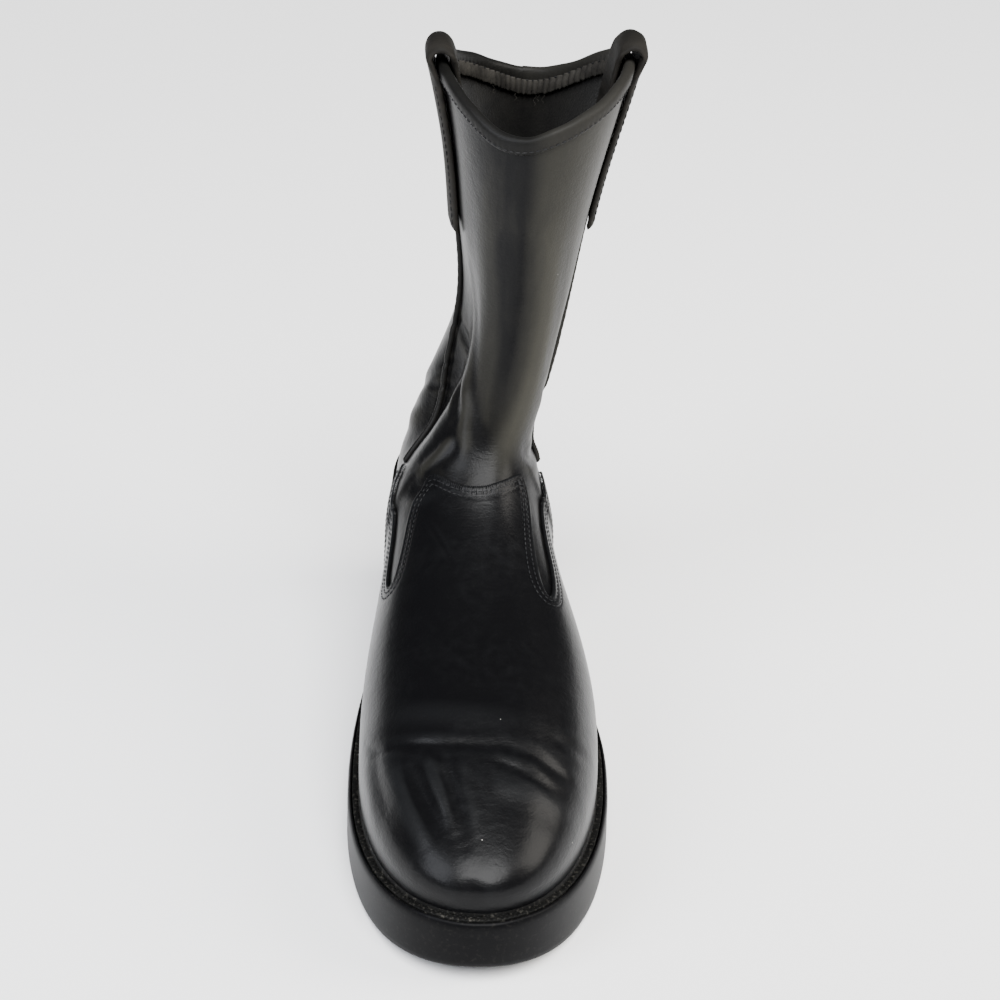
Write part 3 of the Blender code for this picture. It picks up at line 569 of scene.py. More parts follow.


# dyed and worn colour, roughness, coat, grain, wrinkle, dust; the worn colour is also the painted
# light on the outer half of the leg
shaft_leather = worn_leather("waxed_cowhide_shaft",
                             "#060607", "#302f2a", 0.31, 0.02, 0.8, 0.5, 0.5)
vamp_leather = worn_leather("waxed_cowhide_vamp",
                            "#060607", "#1c1d1e", 0.30, 0.05, 0.6, 0.4, 1.0)
strap_leather = worn_leather("split_edge_strap_leather",
                             "#0a0a09", "#2e2b27", 0.60, 0.0, 1.0, 0.6, 0.6)
trim_leather = worn_leather("rolled_trim_leather",
                            "#090909", "#23221f", 0.42, 0.02, 0.6, 0.4, 0.3)
print("leather finishes:", 4)

# %% [markdown]
# The lining is suede: the flesh side of the hide, brushed, and almost black with wear.
# It scatters light and shows no gloss. The sole is moulded nitrile rubber, matt and a
# little dusty. Stitches are bonded nylon thread.

# %% Suede, rubber, thread
def plain_finish(name, dark, light, rough, scale, strength, depth, fuzz=0.0, dust=0.0):
    made, tree, shader, place = new_finish(name)
    blotch = noise(tree, place, 14 * MM, 8, roughness=0.7)
    color = blend_colors(tree, spread(tree, blotch, 0.3, 0.75), dark, light)
    if dust:
        grit = noise(tree, place, 1.5 * MM, 5)
        color = blend_colors(tree, spread(tree, grit, 0.56, 0.80, 0, dust), color, "#77746c")
    tree.links.new(color, shader.inputs["Base Color"])
    for key, value in (("Roughness", rough), ("Sheen Weight", fuzz),
                       ("Specular IOR Level", 0.05)):
        shader.inputs[key].default_value = value
    nap = noise(tree, place, scale, 4, roughness=0.6)
    tree.links.new(bump(tree, nap, strength, depth), shader.inputs["Normal"])
    return made


# dark and light colour, roughness, then size, strength and depth of the nap or grain
suede = plain_finish("worn_lining_suede", "#080808", "#191816", 0.95, 0.9 * MM, 0.8, 0.5 * MM, 0.08)
facing_leather = plain_finish("pleated_facing_leather", "#171615", "#3d3b37", 0.7, 0.7 * MM, 0.5,
                              0.2 * MM)
sole_rubber = plain_finish("moulded_nitrile_rubber", "#040405", "#09090a", 0.42, 0.8 * MM, 0.25,
                           0.10 * MM, 0.0, 0.04)
welt_rubber = plain_finish("moulded_welt_rubber", "#060606", "#151514", 0.45, 0.7 * MM, 0.4,
                           0.15 * MM, 0.0, 0.25)
thread = plain_finish("bonded_nylon_thread", "#141517", "#2c2c2c", 0.5, 0.4 * MM, 0.5, 0.1 * MM)
board = plain_finish("worn_insole_board", "#1d1a17", "#3a332c", 0.9, 1.2 * MM, 0.5, 0.2 * MM)
print("other finishes:", 6)

# %% [markdown]
# The shaft and foot are one body of leather. A grid of quads is bent over the form,
# column by column round the boot, and closed at the heel by merging its two ends.
# Fine grooves run beside the cord in each side seam.

# %% Leather body
def line_gap(points, line, reach):
    """Distance of points to a line, where it is nearer than reach."""
    flat = points.reshape(-1, 3)
    found = np.full(len(flat), 1.0)
    low, high = line.min(0) - reach, line.max(0) + reach
    near = np.where(np.all((flat > low) & (flat < high), axis=1))[0]
    for part in np.array_split(near, max(1, len(near) // 4000)):
        gap = np.linalg.norm(flat[part, None, :] - line[None, :, :], axis=2)
        found[part] = gap.min(1)
    return found.reshape(points.shape[:-1])


SEAM_LOW = 0.60
SEAM_LINES = [form(np.linspace(SEAM_LOW, 1.0, 400), side) for side in (-1, 1)]


def leather_point(ring, around, out):
    """Point of a leather layer: the form, moved out by the layer and its folds."""
    base = form(ring, around)
    normal = directions(ring, around)[0]
    return base + normal * (out + relief(base))[..., None]


# grooves beside the seam cord
SEAM_REACH = 6 * MM
SEAM_GROOVE_DEPTH = 0.7 * MM
SEAM_GROOVE_PLACE = 2.3 * MM
SEAM_GROOVE_WIDTH = 0.75 * MM


def shaft_lift(base):
    lift = relief(base)
    for line in SEAM_LINES:
        gap = line_gap(base, line, SEAM_REACH)
        lift -= SEAM_GROOVE_DEPTH * np.exp(-((gap - SEAM_GROOVE_PLACE) / SEAM_GROOVE_WIDTH) ** 2)
    return lift


# painted light with some wear starts along this line of the shaft's front, above these heights: the
# outer half is made lighter grey, as if lit from that side
PAINTED_LIGHT_EDGE = form(np.linspace(0.70, 1.0, 60), -0.06)
PAINTED_LIGHT_SOFTNESS = (-3 * MM, 9 * MM)
PAINTED_LIGHT_HEIGHTS = (112 * MM, 150 * MM)
OUTER_PAINTED_LIGHT_AND_WEAR = 0.55


def store_wear_and_painted_light(piece, worn):
    layer = piece.data.attributes.new("wear_and_painted_light", 'FLOAT', 'POINT')
    layer.data.foreach_set("value", worn.astype(np.float32))


def set_wear_and_painted_light(piece, extra=0):
    """Works out wear on raised folds, plus painted light with some wear that makes the outer half
    lighter grey, as if lit from that side.
    """
    spots = np.array([v.co for v in piece.data.vertices])
    worn = np.clip(relief(spots) / (1.2 * MM), -0.2, 0.3)
    beside = spots[:, 0] - np.interp(spots[:, 2], PAINTED_LIGHT_EDGE[:, 2], PAINTED_LIGHT_EDGE[:, 0])
    # painted light with some wear: the outer half above the ankle is made lighter grey, as if lit
    # from that side
    outer_painted_light = ease(beside, *PAINTED_LIGHT_SOFTNESS) * ease(spots[:, 2], *PAINTED_LIGHT_HEIGHTS)
    store_wear_and_painted_light(piece, np.clip(worn + OUTER_PAINTED_LIGHT_AND_WEAR * outer_painted_light + extra, 0, 1))


SHAFT_COLUMNS, SHAFT_ROWS = 300, 290


def shaft_place(i, j):
    ring, around = j / SHAFT_ROWS, -2 + 4 * i / SHAFT_COLUMNS
    base = form(ring, around)
    return base + directions(ring, around)[0] * shaft_lift(base)[:, None]


shaft = as_piece("shaft_leather", bent_grid(SHAFT_COLUMNS, SHAFT_ROWS, shaft_place),
                 shaft_leather, ("upper",))
set_wear_and_painted_light(shaft)

LINING_COLUMNS, LINING_ROWS = 180, 150


def lining_place(i, j):
    return leather_point(0.004 + 0.994 * j / LINING_ROWS, -2 + 4 * i / LINING_COLUMNS, -UPPER_WALL)


as_piece("suede_lining", bent_grid(LINING_COLUMNS, LINING_ROWS, lining_place, flip=True),
         suede)

# %% [markdown]
# Vamp and counter are separate cut panels stitched on top. Each panel is filled in
# the flat pattern, in ring and around, the way a pattern piece is drawn on card. It
# is then laid on the form. Its edge is rolled down to the leather below.

# %% Panels
PANEL_THICK = 1.5 * MM
EDGE_ROLL = 0.9 * MM
EDGE_TUCK = 0.3 * MM        # the very edge sinks into the leather below
EDGE_LOOPS = (0.14 * MM, 0.42 * MM, 0.9 * MM)   # lines of points that shape the roll
GRID_CLEAR = 1.6 * MM       # grid points keep off the edge
STITCH_ROWS = (3.0 * MM, 5.8 * MM)
ROW_DEPTH, ROW_WIDTH = 0.20 * MM, 0.55 * MM     # stitches pull the leather down
BEAD_HEIGHT, BEAD_PLACE, BEAD_WIDTH = 0.12 * MM, 1.2 * MM, 0.6 * MM
EDGE_WEAR, EDGE_WEAR_WIDTH = 0.22, 0.7 * MM
# Vamp edge from the tab's middle to the wing and down the side seam, both sides
VAMP_EDGE = {
    -1: ((0.00, 0.741), (0.25, 0.738), (0.42, 0.732), (0.545, 0.713), (0.625, 0.665),
         (0.665, 0.60), (0.655, 0.53), (0.66, 0.465), (0.71, 0.425), (0.77, 0.435),
         (0.82, 0.49), (0.88, 0.56), (0.94, 0.625), (0.975, 0.60), (0.98, 0.50),
         (0.98, 0.40), (0.985, 0.30), (0.985, 0.20), (0.985, 0.02)),
    1: ((0.00, 0.741), (0.20, 0.741), (0.42, 0.732), (0.55, 0.709), (0.605, 0.660),
        (0.585, 0.61), (0.52, 0.565), (0.48, 0.525), (0.51, 0.49), (0.58, 0.485),
        (0.66, 0.505), (0.76, 0.55), (0.88, 0.60), (0.95, 0.61), (0.98, 0.57),
        (0.98, 0.50), (0.98, 0.40), (0.985, 0.30), (0.985, 0.20), (0.985, 0.02)),
}
COUNTER_EDGE = ((1.005, 0.505), (1.20, 0.47), (1.45, 0.45), (1.70, 0.455), (1.90, 0.47),
                (2.00, 0.475))


def at_length(want, run, points):
    """Points of a line at given lengths along it."""
    return np.stack([np.interp(want, run, column) for column in points.T], -1)


def smooth_line(points, step=0.9 * MM):
    """Evenly spaced (around, ring) points on a spline through given ones."""
    points = np.array(points)
    rows = [(k, a, r) for k, (a, r) in enumerate(points)]
    t = np.linspace(0, len(points) - 1, 1500)
    flat = np.stack([curve(rows, 1)(t), curve(rows, 2)(t)], 1)
    length = np.concatenate([[0], np.cumsum(np.linalg.norm(
        np.diff(form(flat[:, 1], flat[:, 0]), axis=0), axis=1))])
    want = np.linspace(0, length[-1], max(3, int(length[-1] / step)))
    return at_length(want, length, flat)


def inset(line, gap):
    """Moves a pattern line to its right-hand side by a distance on the leather."""
    around, ring = line[:, 0], line[:, 1]
    run = np.gradient(form(ring, around), axis=0)
    normal = directions(ring, around)[0]
    aside = unit(np.cross(unit(run), normal))
    small = 0.002
    by_around = (form(ring, around + small) - form(ring, around - small)) / (2 * small)
    by_ring = (form(ring + small, around) - form(ring - small, around)) / (2 * small)
    moved = []
    for k in range(len(line)):
        pair = np.stack([by_around[k], by_ring[k]], 1)
        moved.append(line[k] + np.linalg.lstsq(pair, aside[k] * gap, rcond=None)[0])
    return np.array(moved)


def inside_outline(points, outline):
    hit = np.zeros(len(points), bool)
    for (ax, ay), (bx, by) in zip(outline, np.roll(outline, -1, 0)):
        if ay == by:
            continue
        cross = (ay > points[:, 1]) != (by > points[:, 1])
        hit ^= cross & (points[:, 0] < ax + (points[:, 1] - ay) / (by - ay) * (bx - ax))
    return hit


def nearest(spots):
    """A search tree that finds the nearest of some points."""
    tree = kdtree.KDTree(len(spots))
    for k, spot in enumerate(spots):
        tree.insert(spot, k)
    tree.balance()
    return tree


def panel(name, edge, foot, finish, node, columns, rows):
    """edge: open line of the cut edge; foot: line back under the welt."""
    outline = np.concatenate([edge, foot])
    loops = [inset(edge, gap) for gap in EDGE_LOOPS]
    low, high = outline.min(0), outline.max(0)
    grid_a, grid_r = np.meshgrid(np.linspace(low[0], high[0], columns),
                                 np.linspace(low[1], high[1], rows))
    inner = np.stack([grid_a.ravel(), grid_r.ravel()], 1)
    inner = inner[inside_outline(inner, outline)]
    border = nearest(form(outline[:, 1], outline[:, 0]))
    places = form(inner[:, 1], inner[:, 0])
    inner = inner[[border.find(p)[2] > GRID_CLEAR for p in places]]
    points = np.concatenate([outline] + loops + [inner])
    count = len(outline)
    borders = [(k, (k + 1) % count) for k in range(count)]
    verts, _, faces, *_ = geometry.delaunay_2d_cdt(
        [Vector(p) for p in points], borders, [], 1, 1e-7)
    mesh = bmesh.new()
    made = [mesh.verts.new((v.x, v.y, 0)) for v in verts]
    for face in faces:
        mesh.faces.new([made[k] for k in face])
    bmesh.ops.subdivide_edges(mesh, edges=mesh.edges, cuts=1)
    bmesh.ops.triangulate(mesh, faces=mesh.faces)
    flat = np.array([v.co[:2] for v in mesh.verts])
    base = form(flat[:, 1], flat[:, 0])
    cut = nearest(form(edge[:, 1], edge[:, 0]))
    gap = np.array([cut.find(p)[2] for p in base])
    share = np.clip(gap / EDGE_ROLL, 0, 1)
    lift = PANEL_THICK * np.sqrt(1 - (1 - share) ** 2) - EDGE_TUCK * (share < 0.05)
    for row in STITCH_ROWS:
        lift -= ROW_DEPTH * np.exp(-((gap - row) / ROW_WIDTH) ** 2)
    lift += BEAD_HEIGHT * np.exp(-((gap - BEAD_PLACE) / BEAD_WIDTH) ** 2)
    lift += relief(base)
    spots = base + directions(flat[:, 1], flat[:, 0])[0] * lift[:, None]
    for vert, spot in zip(mesh.verts, spots):
        vert.co = spot
    piece = as_piece(name, mesh, finish, (node,))
    set_wear_and_painted_light(piece, EDGE_WEAR * np.exp(-((gap - EDGE_WEAR_WIDTH) / EDGE_WEAR_WIDTH) ** 2))


vamp_edge = smooth_line([(-a, r) for a, r in VAMP_EDGE[-1][::-1]] + list(VAMP_EDGE[1][1:]))
vamp_foot = np.stack([np.linspace(0.985, -0.985, 330)[1:-1], np.full(328, 0.02)], 1)
panel("vamp_panel", vamp_edge, vamp_foot, vamp_leather, "vamp", 150, 120)

counter_half = list(COUNTER_EDGE)
counter_points = ([(1.005, 0.02), (1.005, 0.15), (1.005, 0.30), (1.005, 0.42)] + counter_half
                  + [(4 - a, r) for a, r in counter_half[-2::-1]]
                  + [(2.995, 0.42), (2.995, 0.30), (2.995, 0.15), (2.995, 0.02)])
counter_edge = smooth_line(counter_points)
counter_foot = np.stack([np.linspace(2.995, 1.005, 150)[1:-1], np.full(148, 0.02)], 1)
panel("counter_cover", counter_edge, counter_foot, shaft_leather, "counter",
      90, 45)

# %% [markdown]
# Stitches are what show that a panel is sewn. Each is a small capsule of thread that
# dips at both ends. A few dozen faces each are enough, because there are hundreds.

# %% Stitches
def capsule(mesh, middle, forward, out, half, radius, segments, rings):
    """A drop of thread, stretched along forward."""
    aside = unit(np.cross(out, forward))
    turn = Matrix((forward, aside, np.cross(forward, aside))).transposed().to_4x4()
    size = Matrix.Diagonal((half, radius, radius, 1))
    bmesh.ops.create_uvsphere(mesh, u_segments=segments, v_segments=rings, radius=1,
                              matrix=Matrix.Translation(middle) @ turn @ size)


def stitch_row(mesh, places, normals, pitch, length, radius):
    run = np.concatenate([[0], np.cumsum(np.linalg.norm(np.diff(places, axis=0), axis=1))])
    for at in np.arange(pitch * 0.7, run[-1] - pitch * 0.5, pitch):
        spot, ahead = at_length(at, run, places), at_length(at + length / 2, run, places)
        out = unit(at_length(at, run, normals))
        capsule(mesh, spot, unit(ahead - spot), out, length / 2, radius, 6, 5)


STITCH_PITCH = 2.6 * MM
STITCH_RADIUS = 0.28 * MM
STITCH_HIGH = PANEL_THICK - 0.05 * MM
STITCH_FOOT = 0.10          # ring under which the welt hides the seam


def panel_stitches(name, edge):
    mesh = bmesh.new()
    sewn = edge[edge[:, 1] > STITCH_FOOT]
    for gap in STITCH_ROWS:
        line = inset(sewn, gap)
        base = form(line[:, 1], line[:, 0])
        normal = directions(line[:, 1], line[:, 0])[0]
        places = base + normal * (STITCH_HIGH + relief(base))[:, None]
        stitch_row(mesh, places, normal, STITCH_PITCH, STITCH_PITCH * 0.80, STITCH_RADIUS)
    as_piece(name, mesh, thread)


panel_stitches("vamp_stitches", vamp_edge)
panel_stitches("counter_stitches", counter_edge)

# %% [markdown]
# Piping is a strip of thin leather folded over a cord and caught in the seam. A round
# section swept up the seam does it, sunk into the seam and drawn thin at both ends.

# %% Seam piping
PIPING_RADIUS = 1.45 * MM
PIPING_SPAN = (0.615, 0.93)
PIPING_HIGH = 0.55 * MM
PIPING_COLUMNS, PIPING_SECTIONS = 12, 150


def piping_piece(name, side, node):
    def place(i, j):
        ring = PIPING_SPAN[0] + (PIPING_SPAN[1] - PIPING_SPAN[0]) * j / PIPING_SECTIONS
        turn = np.full(len(i), float(side))
        base = form(ring, turn)
        normal, up, _ = directions(ring, turn)
        over = np.cross(up, normal)
        angle = 2 * np.pi * i / PIPING_COLUMNS
        taper = np.sqrt(np.clip(np.minimum(j, PIPING_SECTIONS - j) / 3, 0.03, 1))
        ripple = 1 + 0.05 * np.sin(ring * 900)
        high = relief(base) + PIPING_HIGH + PIPING_RADIUS * 1.05 * np.sin(angle) * taper * ripple
        return (base + normal * high[:, None]
                + over * (PIPING_RADIUS * np.cos(angle) * taper)[:, None])
    piece = as_piece(name, bent_grid(PIPING_COLUMNS, PIPING_SECTIONS, place), trim_leather,
                     (node,))
    set_wear_and_painted_light(piece, 0.15)


piping_piece("piping_medial", -1, "seam_piping_medial")
piping_piece("piping_lateral", 1, "seam_piping_lateral")

# %% [markdown]
# The collar is bound: a strip of soft leather is folded over the raw edge and sewn
# through, with one row of stitches showing on either face.

# %% Collar binding
# out, rise in millimetres from the outer edge of the collar
BINDING_SECTION = (
    (-0.6, -4.8), (0.5, -4.9), (1.05, -4.7), (1.35, -4.0), (1.45, -2.8), (1.5, -1.2), (1.35, 0.3),
    (0.85, 1.5), (0.0, 2.2), (-1.1, 2.45), (-2.2, 2.2), (-3.05, 1.5), (-3.55, 0.3), (-3.65, -1.2),
    (-3.6, -2.8), (-3.4, -4.1), (-3.0, -4.6), (-1.6, -4.8), (-0.6, -4.8),
)
BINDING_COLUMNS = 420
RIM_RING = 0.994            # directions at the collar are taken just below it
BINDING_STITCH = (2.8 * MM, 2.1 * MM, 0.3 * MM)     # pitch, length, radius


def rim(around):
    base = form(1.0, around)
    normal, up, turn = directions(np.full(np.shape(around), RIM_RING), around)
    return base, normal, up, turn


def binding_place(i, j):
    around = -2 + 4 * i / BINDING_COLUMNS
    base, normal, up, _ = rim(around)
    section = np.array(BINDING_SECTION)[j] * MM
    pucker = 0.10 * MM * np.sin(around * 150) * (section[:, 1] < -2 * MM)
    wave = 0.25 * MM * np.sin(around * 11) + 0.15 * MM * np.sin(around * 23)
    return (base + normal * (section[:, 0] + pucker * np.sign(section[:, 0] + 1))[:, None]
            + up * (section[:, 1] + wave)[:, None])


binding = as_piece("collar_binding_leather",
                   bent_grid(BINDING_COLUMNS, len(BINDING_SECTION) - 1, binding_place),
                   trim_leather, ("collar_binding",))
rounding = binding.modifiers.new("round", 'SUBSURF')
rounding.levels = rounding.render_levels = 1
set_wear_and_painted_light(binding, 0.12)

base, normal, up, _ = rim(np.linspace(-2, 2, 700))
mesh = bmesh.new()
# out from the collar's edge and down from it, for the outer and the inner row
for out, down in ((1.40 * MM, 3.5 * MM), (-3.62 * MM, 3.3 * MM)):
    stitch_row(mesh, base + normal * out - up * down, normal * np.sign(out), *BINDING_STITCH)
as_piece("binding_stitches", mesh, thread)

# %% [markdown]
# Inside the back of the collar a gathered facing band shows below the binding. Its
# pleats are a wave round the collar, and its lower edge is ragged.

# %% Facing band inside
FACING_COLUMNS, FACING_ROWS = 560, 10
FACING_SPAN = (1.16, 2.84)
FACING_TOP, FACING_HIGH = 3.2 * MM, 6.4 * MM
PLEAT_DEPTH = 0.38 * MM
rng = np.random.default_rng(7)
ragged = rng.normal(0, 0.35, FACING_COLUMNS + 1)


def facing_place(i, j):
    around = FACING_SPAN[0] + (FACING_SPAN[1] - FACING_SPAN[0]) * i / FACING_COLUMNS
    base, normal, up, _ = rim(around)
    down = FACING_TOP + (FACING_HIGH + ragged[i] * MM) * j / FACING_ROWS
    slope = unit(form(1.0, around) - form(0.97, around))
    pleat = PLEAT_DEPTH * np.sin(around * 118 + 0.6 * np.sin(around * 17))
    inward = 3.0 * MM + 0.5 * MM * np.sin(np.pi * j / FACING_ROWS) + pleat
    return base - slope * down[:, None] - normal * inward[:, None]


facing = as_piece("pleated_facing",
                  bent_grid(FACING_COLUMNS, FACING_ROWS, facing_place, flip=True),
                  facing_leather)
wall = facing.modifiers.new("wall", 'SOLIDIFY')
wall.thickness, wall.offset = 0.7 * MM, -1

# %% [markdown]
# A few threads have come loose from the facing's torn edge. Each is a chain of thin
# capsules that sways a little on its way down.

# %% Loose threads
THREAD_PARTS = 5
THREAD_SWAY = 0.7 * MM
THREAD_RADIUS = 0.11 * MM
mesh = bmesh.new()
for start, length in ((1.78, 4.5), (1.83, 3.2), (1.86, 5.0), (2.06, 3.4), (2.30, 3.8)):
    base, normal, up, turn = rim(np.array(start))
    here = base - up * 10.2 * MM - normal * 3.9 * MM
    joints = [here - up * (length * k / THREAD_PARTS * MM)
              + turn * (THREAD_SWAY * np.sin(k * 1.7 + start * 9)) for k in range(THREAD_PARTS + 1)]
    for first, second in zip(joints, joints[1:]):
        capsule(mesh, (first + second) / 2, unit(second - first), normal,
                float(np.linalg.norm(second - first)) * 0.62, THREAD_RADIUS, 5, 4)
as_piece("loose_threads", mesh, facing_leather)

# %% [markdown]
# Each pull strap is a band of doubled leather. Its outer leg is sewn down the side
# seam, the band passes closely over the ear of the collar, and its inner leg goes
# down inside. The cut edge is thick and rough.

# %% Pull straps
STRAP_WIDTH = 27 * MM
STRAP_THICK = 2.9 * MM
# out from the leather, height above the collar edge along the leather
STRAP_PATH = (
    (3.2, -72), (3.1, -62), (3.0, -50), (3.1, -36), (3.3, -20), (3.5, -8), (3.8, 0), (3.8, 4.2),
    (3.0, 7.6), (1.0, 9.8), (-1.4, 10.3), (-3.8, 9.4), (-5.6, 6.8), (-6.1, 3), (-6.0, -3),
    (-5.8, -10), (-5.3, -18), (-4.7, -26),
)
LOOP_DROOP = 3.5 * MM       # edges of the loop bend down over the ear
STRAP_HUG = 1.4 * MM        # edges of the outer leg bend down to the leather
SIDE_RINGS = np.linspace(0.6, 1.0, 300)


def strap_spot(side, out, height, shift):
    """Point over the leather by height along the side seam, and its normal."""
    line = form(SIDE_RINGS, side)
    length = np.concatenate([[0], np.cumsum(np.linalg.norm(np.diff(line, axis=0), axis=1))])
    ring = np.interp(length[-1] + np.minimum(height, 0), length, SIDE_RINGS)
    width = np.linalg.norm(form(ring, side + 0.05) - form(ring, side - 0.05), axis=-1) / 0.1
    around = side + shift / width
    base = form(ring, around)
    normal, up, turn = directions(np.minimum(ring, RIM_RING), around)
    bent = base + up * np.maximum(height, 0)[:, None] + normal * out[:, None]
    ear, (out_way, up_way, turn_way) = form(1.0, side), directions(RIM_RING, side)
    flat = (ear + turn_way * shift[:, None] + up_way * height[:, None] + out_way * out[:, None])
    share = ease(height, 0.5 * MM, 5 * MM)[:, None]
    return bent * (1 - share) + flat * share, normal, up, turn


STRAP_COLUMNS, STRAP_SECTIONS = 28, 170
STRAP_ROW = STRAP_WIDTH / 2 - 2.6 * MM      # stitches from the strap's middle line
STRAP_STITCH = (3.2 * MM, 2.5 * MM, 0.26 * MM)      # pitch, length, radius


def strap_section(count):
    """Rounded rectangle: shift across and offset through the strap."""
    angle = np.linspace(0, 2 * np.pi, count, endpoint=False)
    across = np.sign(np.cos(angle)) * np.abs(np.cos(angle)) ** 0.35
    through = np.sign(np.sin(angle)) * np.abs(np.sin(angle)) ** 0.6
    return across * STRAP_WIDTH / 2, through * STRAP_THICK / 2


def strap_piece(name, side, node):
    path_rows = [(k, out * MM, high * MM) for k, (out, high) in enumerate(STRAP_PATH)]
    t = np.linspace(0, len(STRAP_PATH) - 1, 1200)
    path = np.stack([curve(path_rows, 1)(t), curve(path_rows, 2)(t)], 1)
    length = path_length(path)
    want = np.linspace(0, length[-1], STRAP_SECTIONS + 1)
    path = np.stack([np.interp(want, length, path[:, k]) for k in (0, 1)], 1)
    run = unit(np.gradient(path, axis=0))
    across, through = strap_section(STRAP_COLUMNS)

    def place(i, j):
        k = i % STRAP_COLUMNS
        ends = np.clip(np.minimum(j, STRAP_SECTIONS - j) / 2.0, 0.0, 1) ** 0.5
        thick = through[k] * (0.15 + 0.85 * ends)
        out = path[j, 0] + run[j, 1] * thick
        high = path[j, 1] - run[j, 0] * thick
        wander = 0.35 * MM * np.sin(j * 0.11 + side)
        edge = (2 * across[k] / STRAP_WIDTH) ** 2
        hug = STRAP_HUG * edge * (1 - ease(high, -6 * MM, 2 * MM))
        out = out - np.where(path[j, 0] > 0, hug, 0)
        high = high - LOOP_DROOP * edge * ease(high, 2 * MM, 9 * MM)
        return strap_spot(side, out, high, across[k] * (0.94 + 0.06 * ends) + wander)[0]
    mesh = bent_grid(STRAP_COLUMNS, STRAP_SECTIONS, place)
    bmesh.ops.holes_fill(mesh, edges=[e for e in mesh.edges if e.is_boundary])
    bmesh.ops.recalc_face_normals(mesh, faces=mesh.faces)
    piece = as_piece(name, mesh, strap_leather, (node,))
    spots = np.array([v.co for v in piece.data.vertices])
    store_wear_and_painted_light(piece, 0.25 + 0.15 * np.sin(spots[:, 2] * 900) * np.sin(spots[:, 1] * 700))
    stitches = bmesh.new()
    for shift in (-STRAP_ROW, STRAP_ROW):
        keep = np.where((path[:, 1] < -6 * MM) & (path[:, 0] > 0) & (path[:, 1] > -70 * MM))[0]
        hug = STRAP_HUG * (2 * shift / STRAP_WIDTH) ** 2
        spots, normal, _, _ = strap_spot(side, path[keep, 0] + STRAP_THICK / 2 - hug, path[keep, 1],
                                         np.full(len(keep), shift))
        stitch_row(stitches, spots, normal, *STRAP_STITCH)
    as_piece(name + "_stitches", stitches, thread)


strap_piece("pull_strap_medial_leather", -1, "pull_strap_medial")
strap_piece("pull_strap_lateral_leather", 1, "pull_strap_lateral")

# %% [markdown]
# The sole unit is moulded rubber. A storm welt stands up against the leather, then a
# groove, a flat strip with wheel marks across it, and a bevel down to the wall. All
# of it is one outline, swept round the feather line in plan.

# %% Sole outline
SOLE_OUT = 7.0 * MM
TOE_SPRING = 9.0 * MM
HEEL_BLOCK = 20 * MM
HEEL_BREAST = -36 * MM
# along, out, under
SOLE = (
    (-0.05, 0.95, 1.00), (0.15, 0.92, 1.00), (0.27, 0.78, 1.00), (0.38, 0.72, 0.62),
    (0.45, 0.75, 0.22), (0.51, 0.85, 0.00), (0.65, 1.00, 0.00), (0.84, 1.00, 0.00),
    (1.05, 1.00, 0.00),
)
TREAD_FLAT = (0.52, 0.84)


def plan(around, out):
    """Feather line in plan, moved outward, as x and y."""
    step = 0.01
    run = form(0.0, around + step) - form(0.0, around - step)
    normal = unit(np.stack([run[..., 1], -run[..., 0]], -1))
    return form(0.0, around)[..., :2] + normal * out[..., None]


def sole_column(column, scale, y):
    return np.interp(along(y + FORM_SHIFT), [row[0] for row in SOLE],
                     [row[column] * scale for row in SOLE])


def sole_under(y):
    share = along(y + FORM_SHIFT)
    rise = np.clip((share - TREAD_FLAT[1]) / (1.02 - TREAD_FLAT[1]), 0, 1.2) ** 1.8
    return sole_column(2, HEEL_BLOCK, y) + TOE_SPRING * rise


def sweep_place(section, columns, from_floor=False):
    """section: for each row how far out, how much lifted, and its share of the height."""
    def place(i, j):
        around = -2 + 4 * i / columns
        y = form(0.0, around)[:, 1]
        outs, lifts, shares = section
        out = outs[j, 0] + outs[j, 1] * sole_column(1, SOLE_OUT, y)
        xy = plan(around, out)
        centre = (HEEL_BACK + TOE_Y - FORM_SHIFT) / 2
        middle = np.isnan(outs[j, 0])
        xy[middle] = np.stack([np.zeros(middle.sum()), centre + (y[middle] - centre) * 0.9], 1)
        if from_floor:
            return np.stack([xy[:, 0], xy[:, 1], lifts[j]], 1)
        top, under = seat(xy[:, 1] + FORM_SHIFT), sole_under(xy[:, 1])
        return np.stack([xy[:, 0], xy[:, 1], under + (top - under) * shares[j] + lifts[j]], 1)
    return place


def section_of(rows):
    """Rows of (out in mm, share of the edge, lift in mm, share of height)."""
    table = np.array(rows, float)
    return table[:, :2] * (MM, 1), table[:, 2] * MM, table[:, 3]


WELT_COLUMNS = 1400
WELT_ROWS = (
    (0.9, 0, -0.2, 1), (0.45, 0, 1.6, 1), (0.5, 0, 3.6, 1), (0.8, 0, 4.7, 1), (1.35, 0, 5.15, 1),
    (1.9, 0, 4.9, 1), (2.3, 0, 4.1, 1), (2.5, 0, 3.2, 1), (2.75, 0, 2.85, 1), (2.6, 0.02, 2.9, 1),
    (1.7, 0.24, 2.95, 1), (1.3, 0.48, 2.9, 1), (1.3, 0.51, 2.6, 1), (1.3, 0.525, 1.8, 1),
    (1.3, 0.525, 0.2, 1),
)
welt_sweep = sweep_place(section_of(WELT_ROWS), WELT_COLUMNS)


def welt_place(i, j):
    spots = welt_sweep(i, j)
    marks = np.clip(np.cos(2 * np.pi * i / 4.6), 0, 1) ** 2
    flat = np.isin(j, (9, 10, 11)).astype(float)
    spots[:, 2] -= marks * flat * 0.45 * MM
    spots[:, 2] += 0.12 * MM * np.sin(i * 0.021) * (j < 8)
    return spots


as_piece("storm_welt", bent_grid(WELT_COLUMNS, len(WELT_ROWS) - 1, welt_place), welt_rubber,
         ("welt",))

# %% [markdown]
# Outsole and heel are swept in the same way, closed on top and underneath. The heel
# is cut straight at its breast. Boxes then cut the cross grooves of the tread.

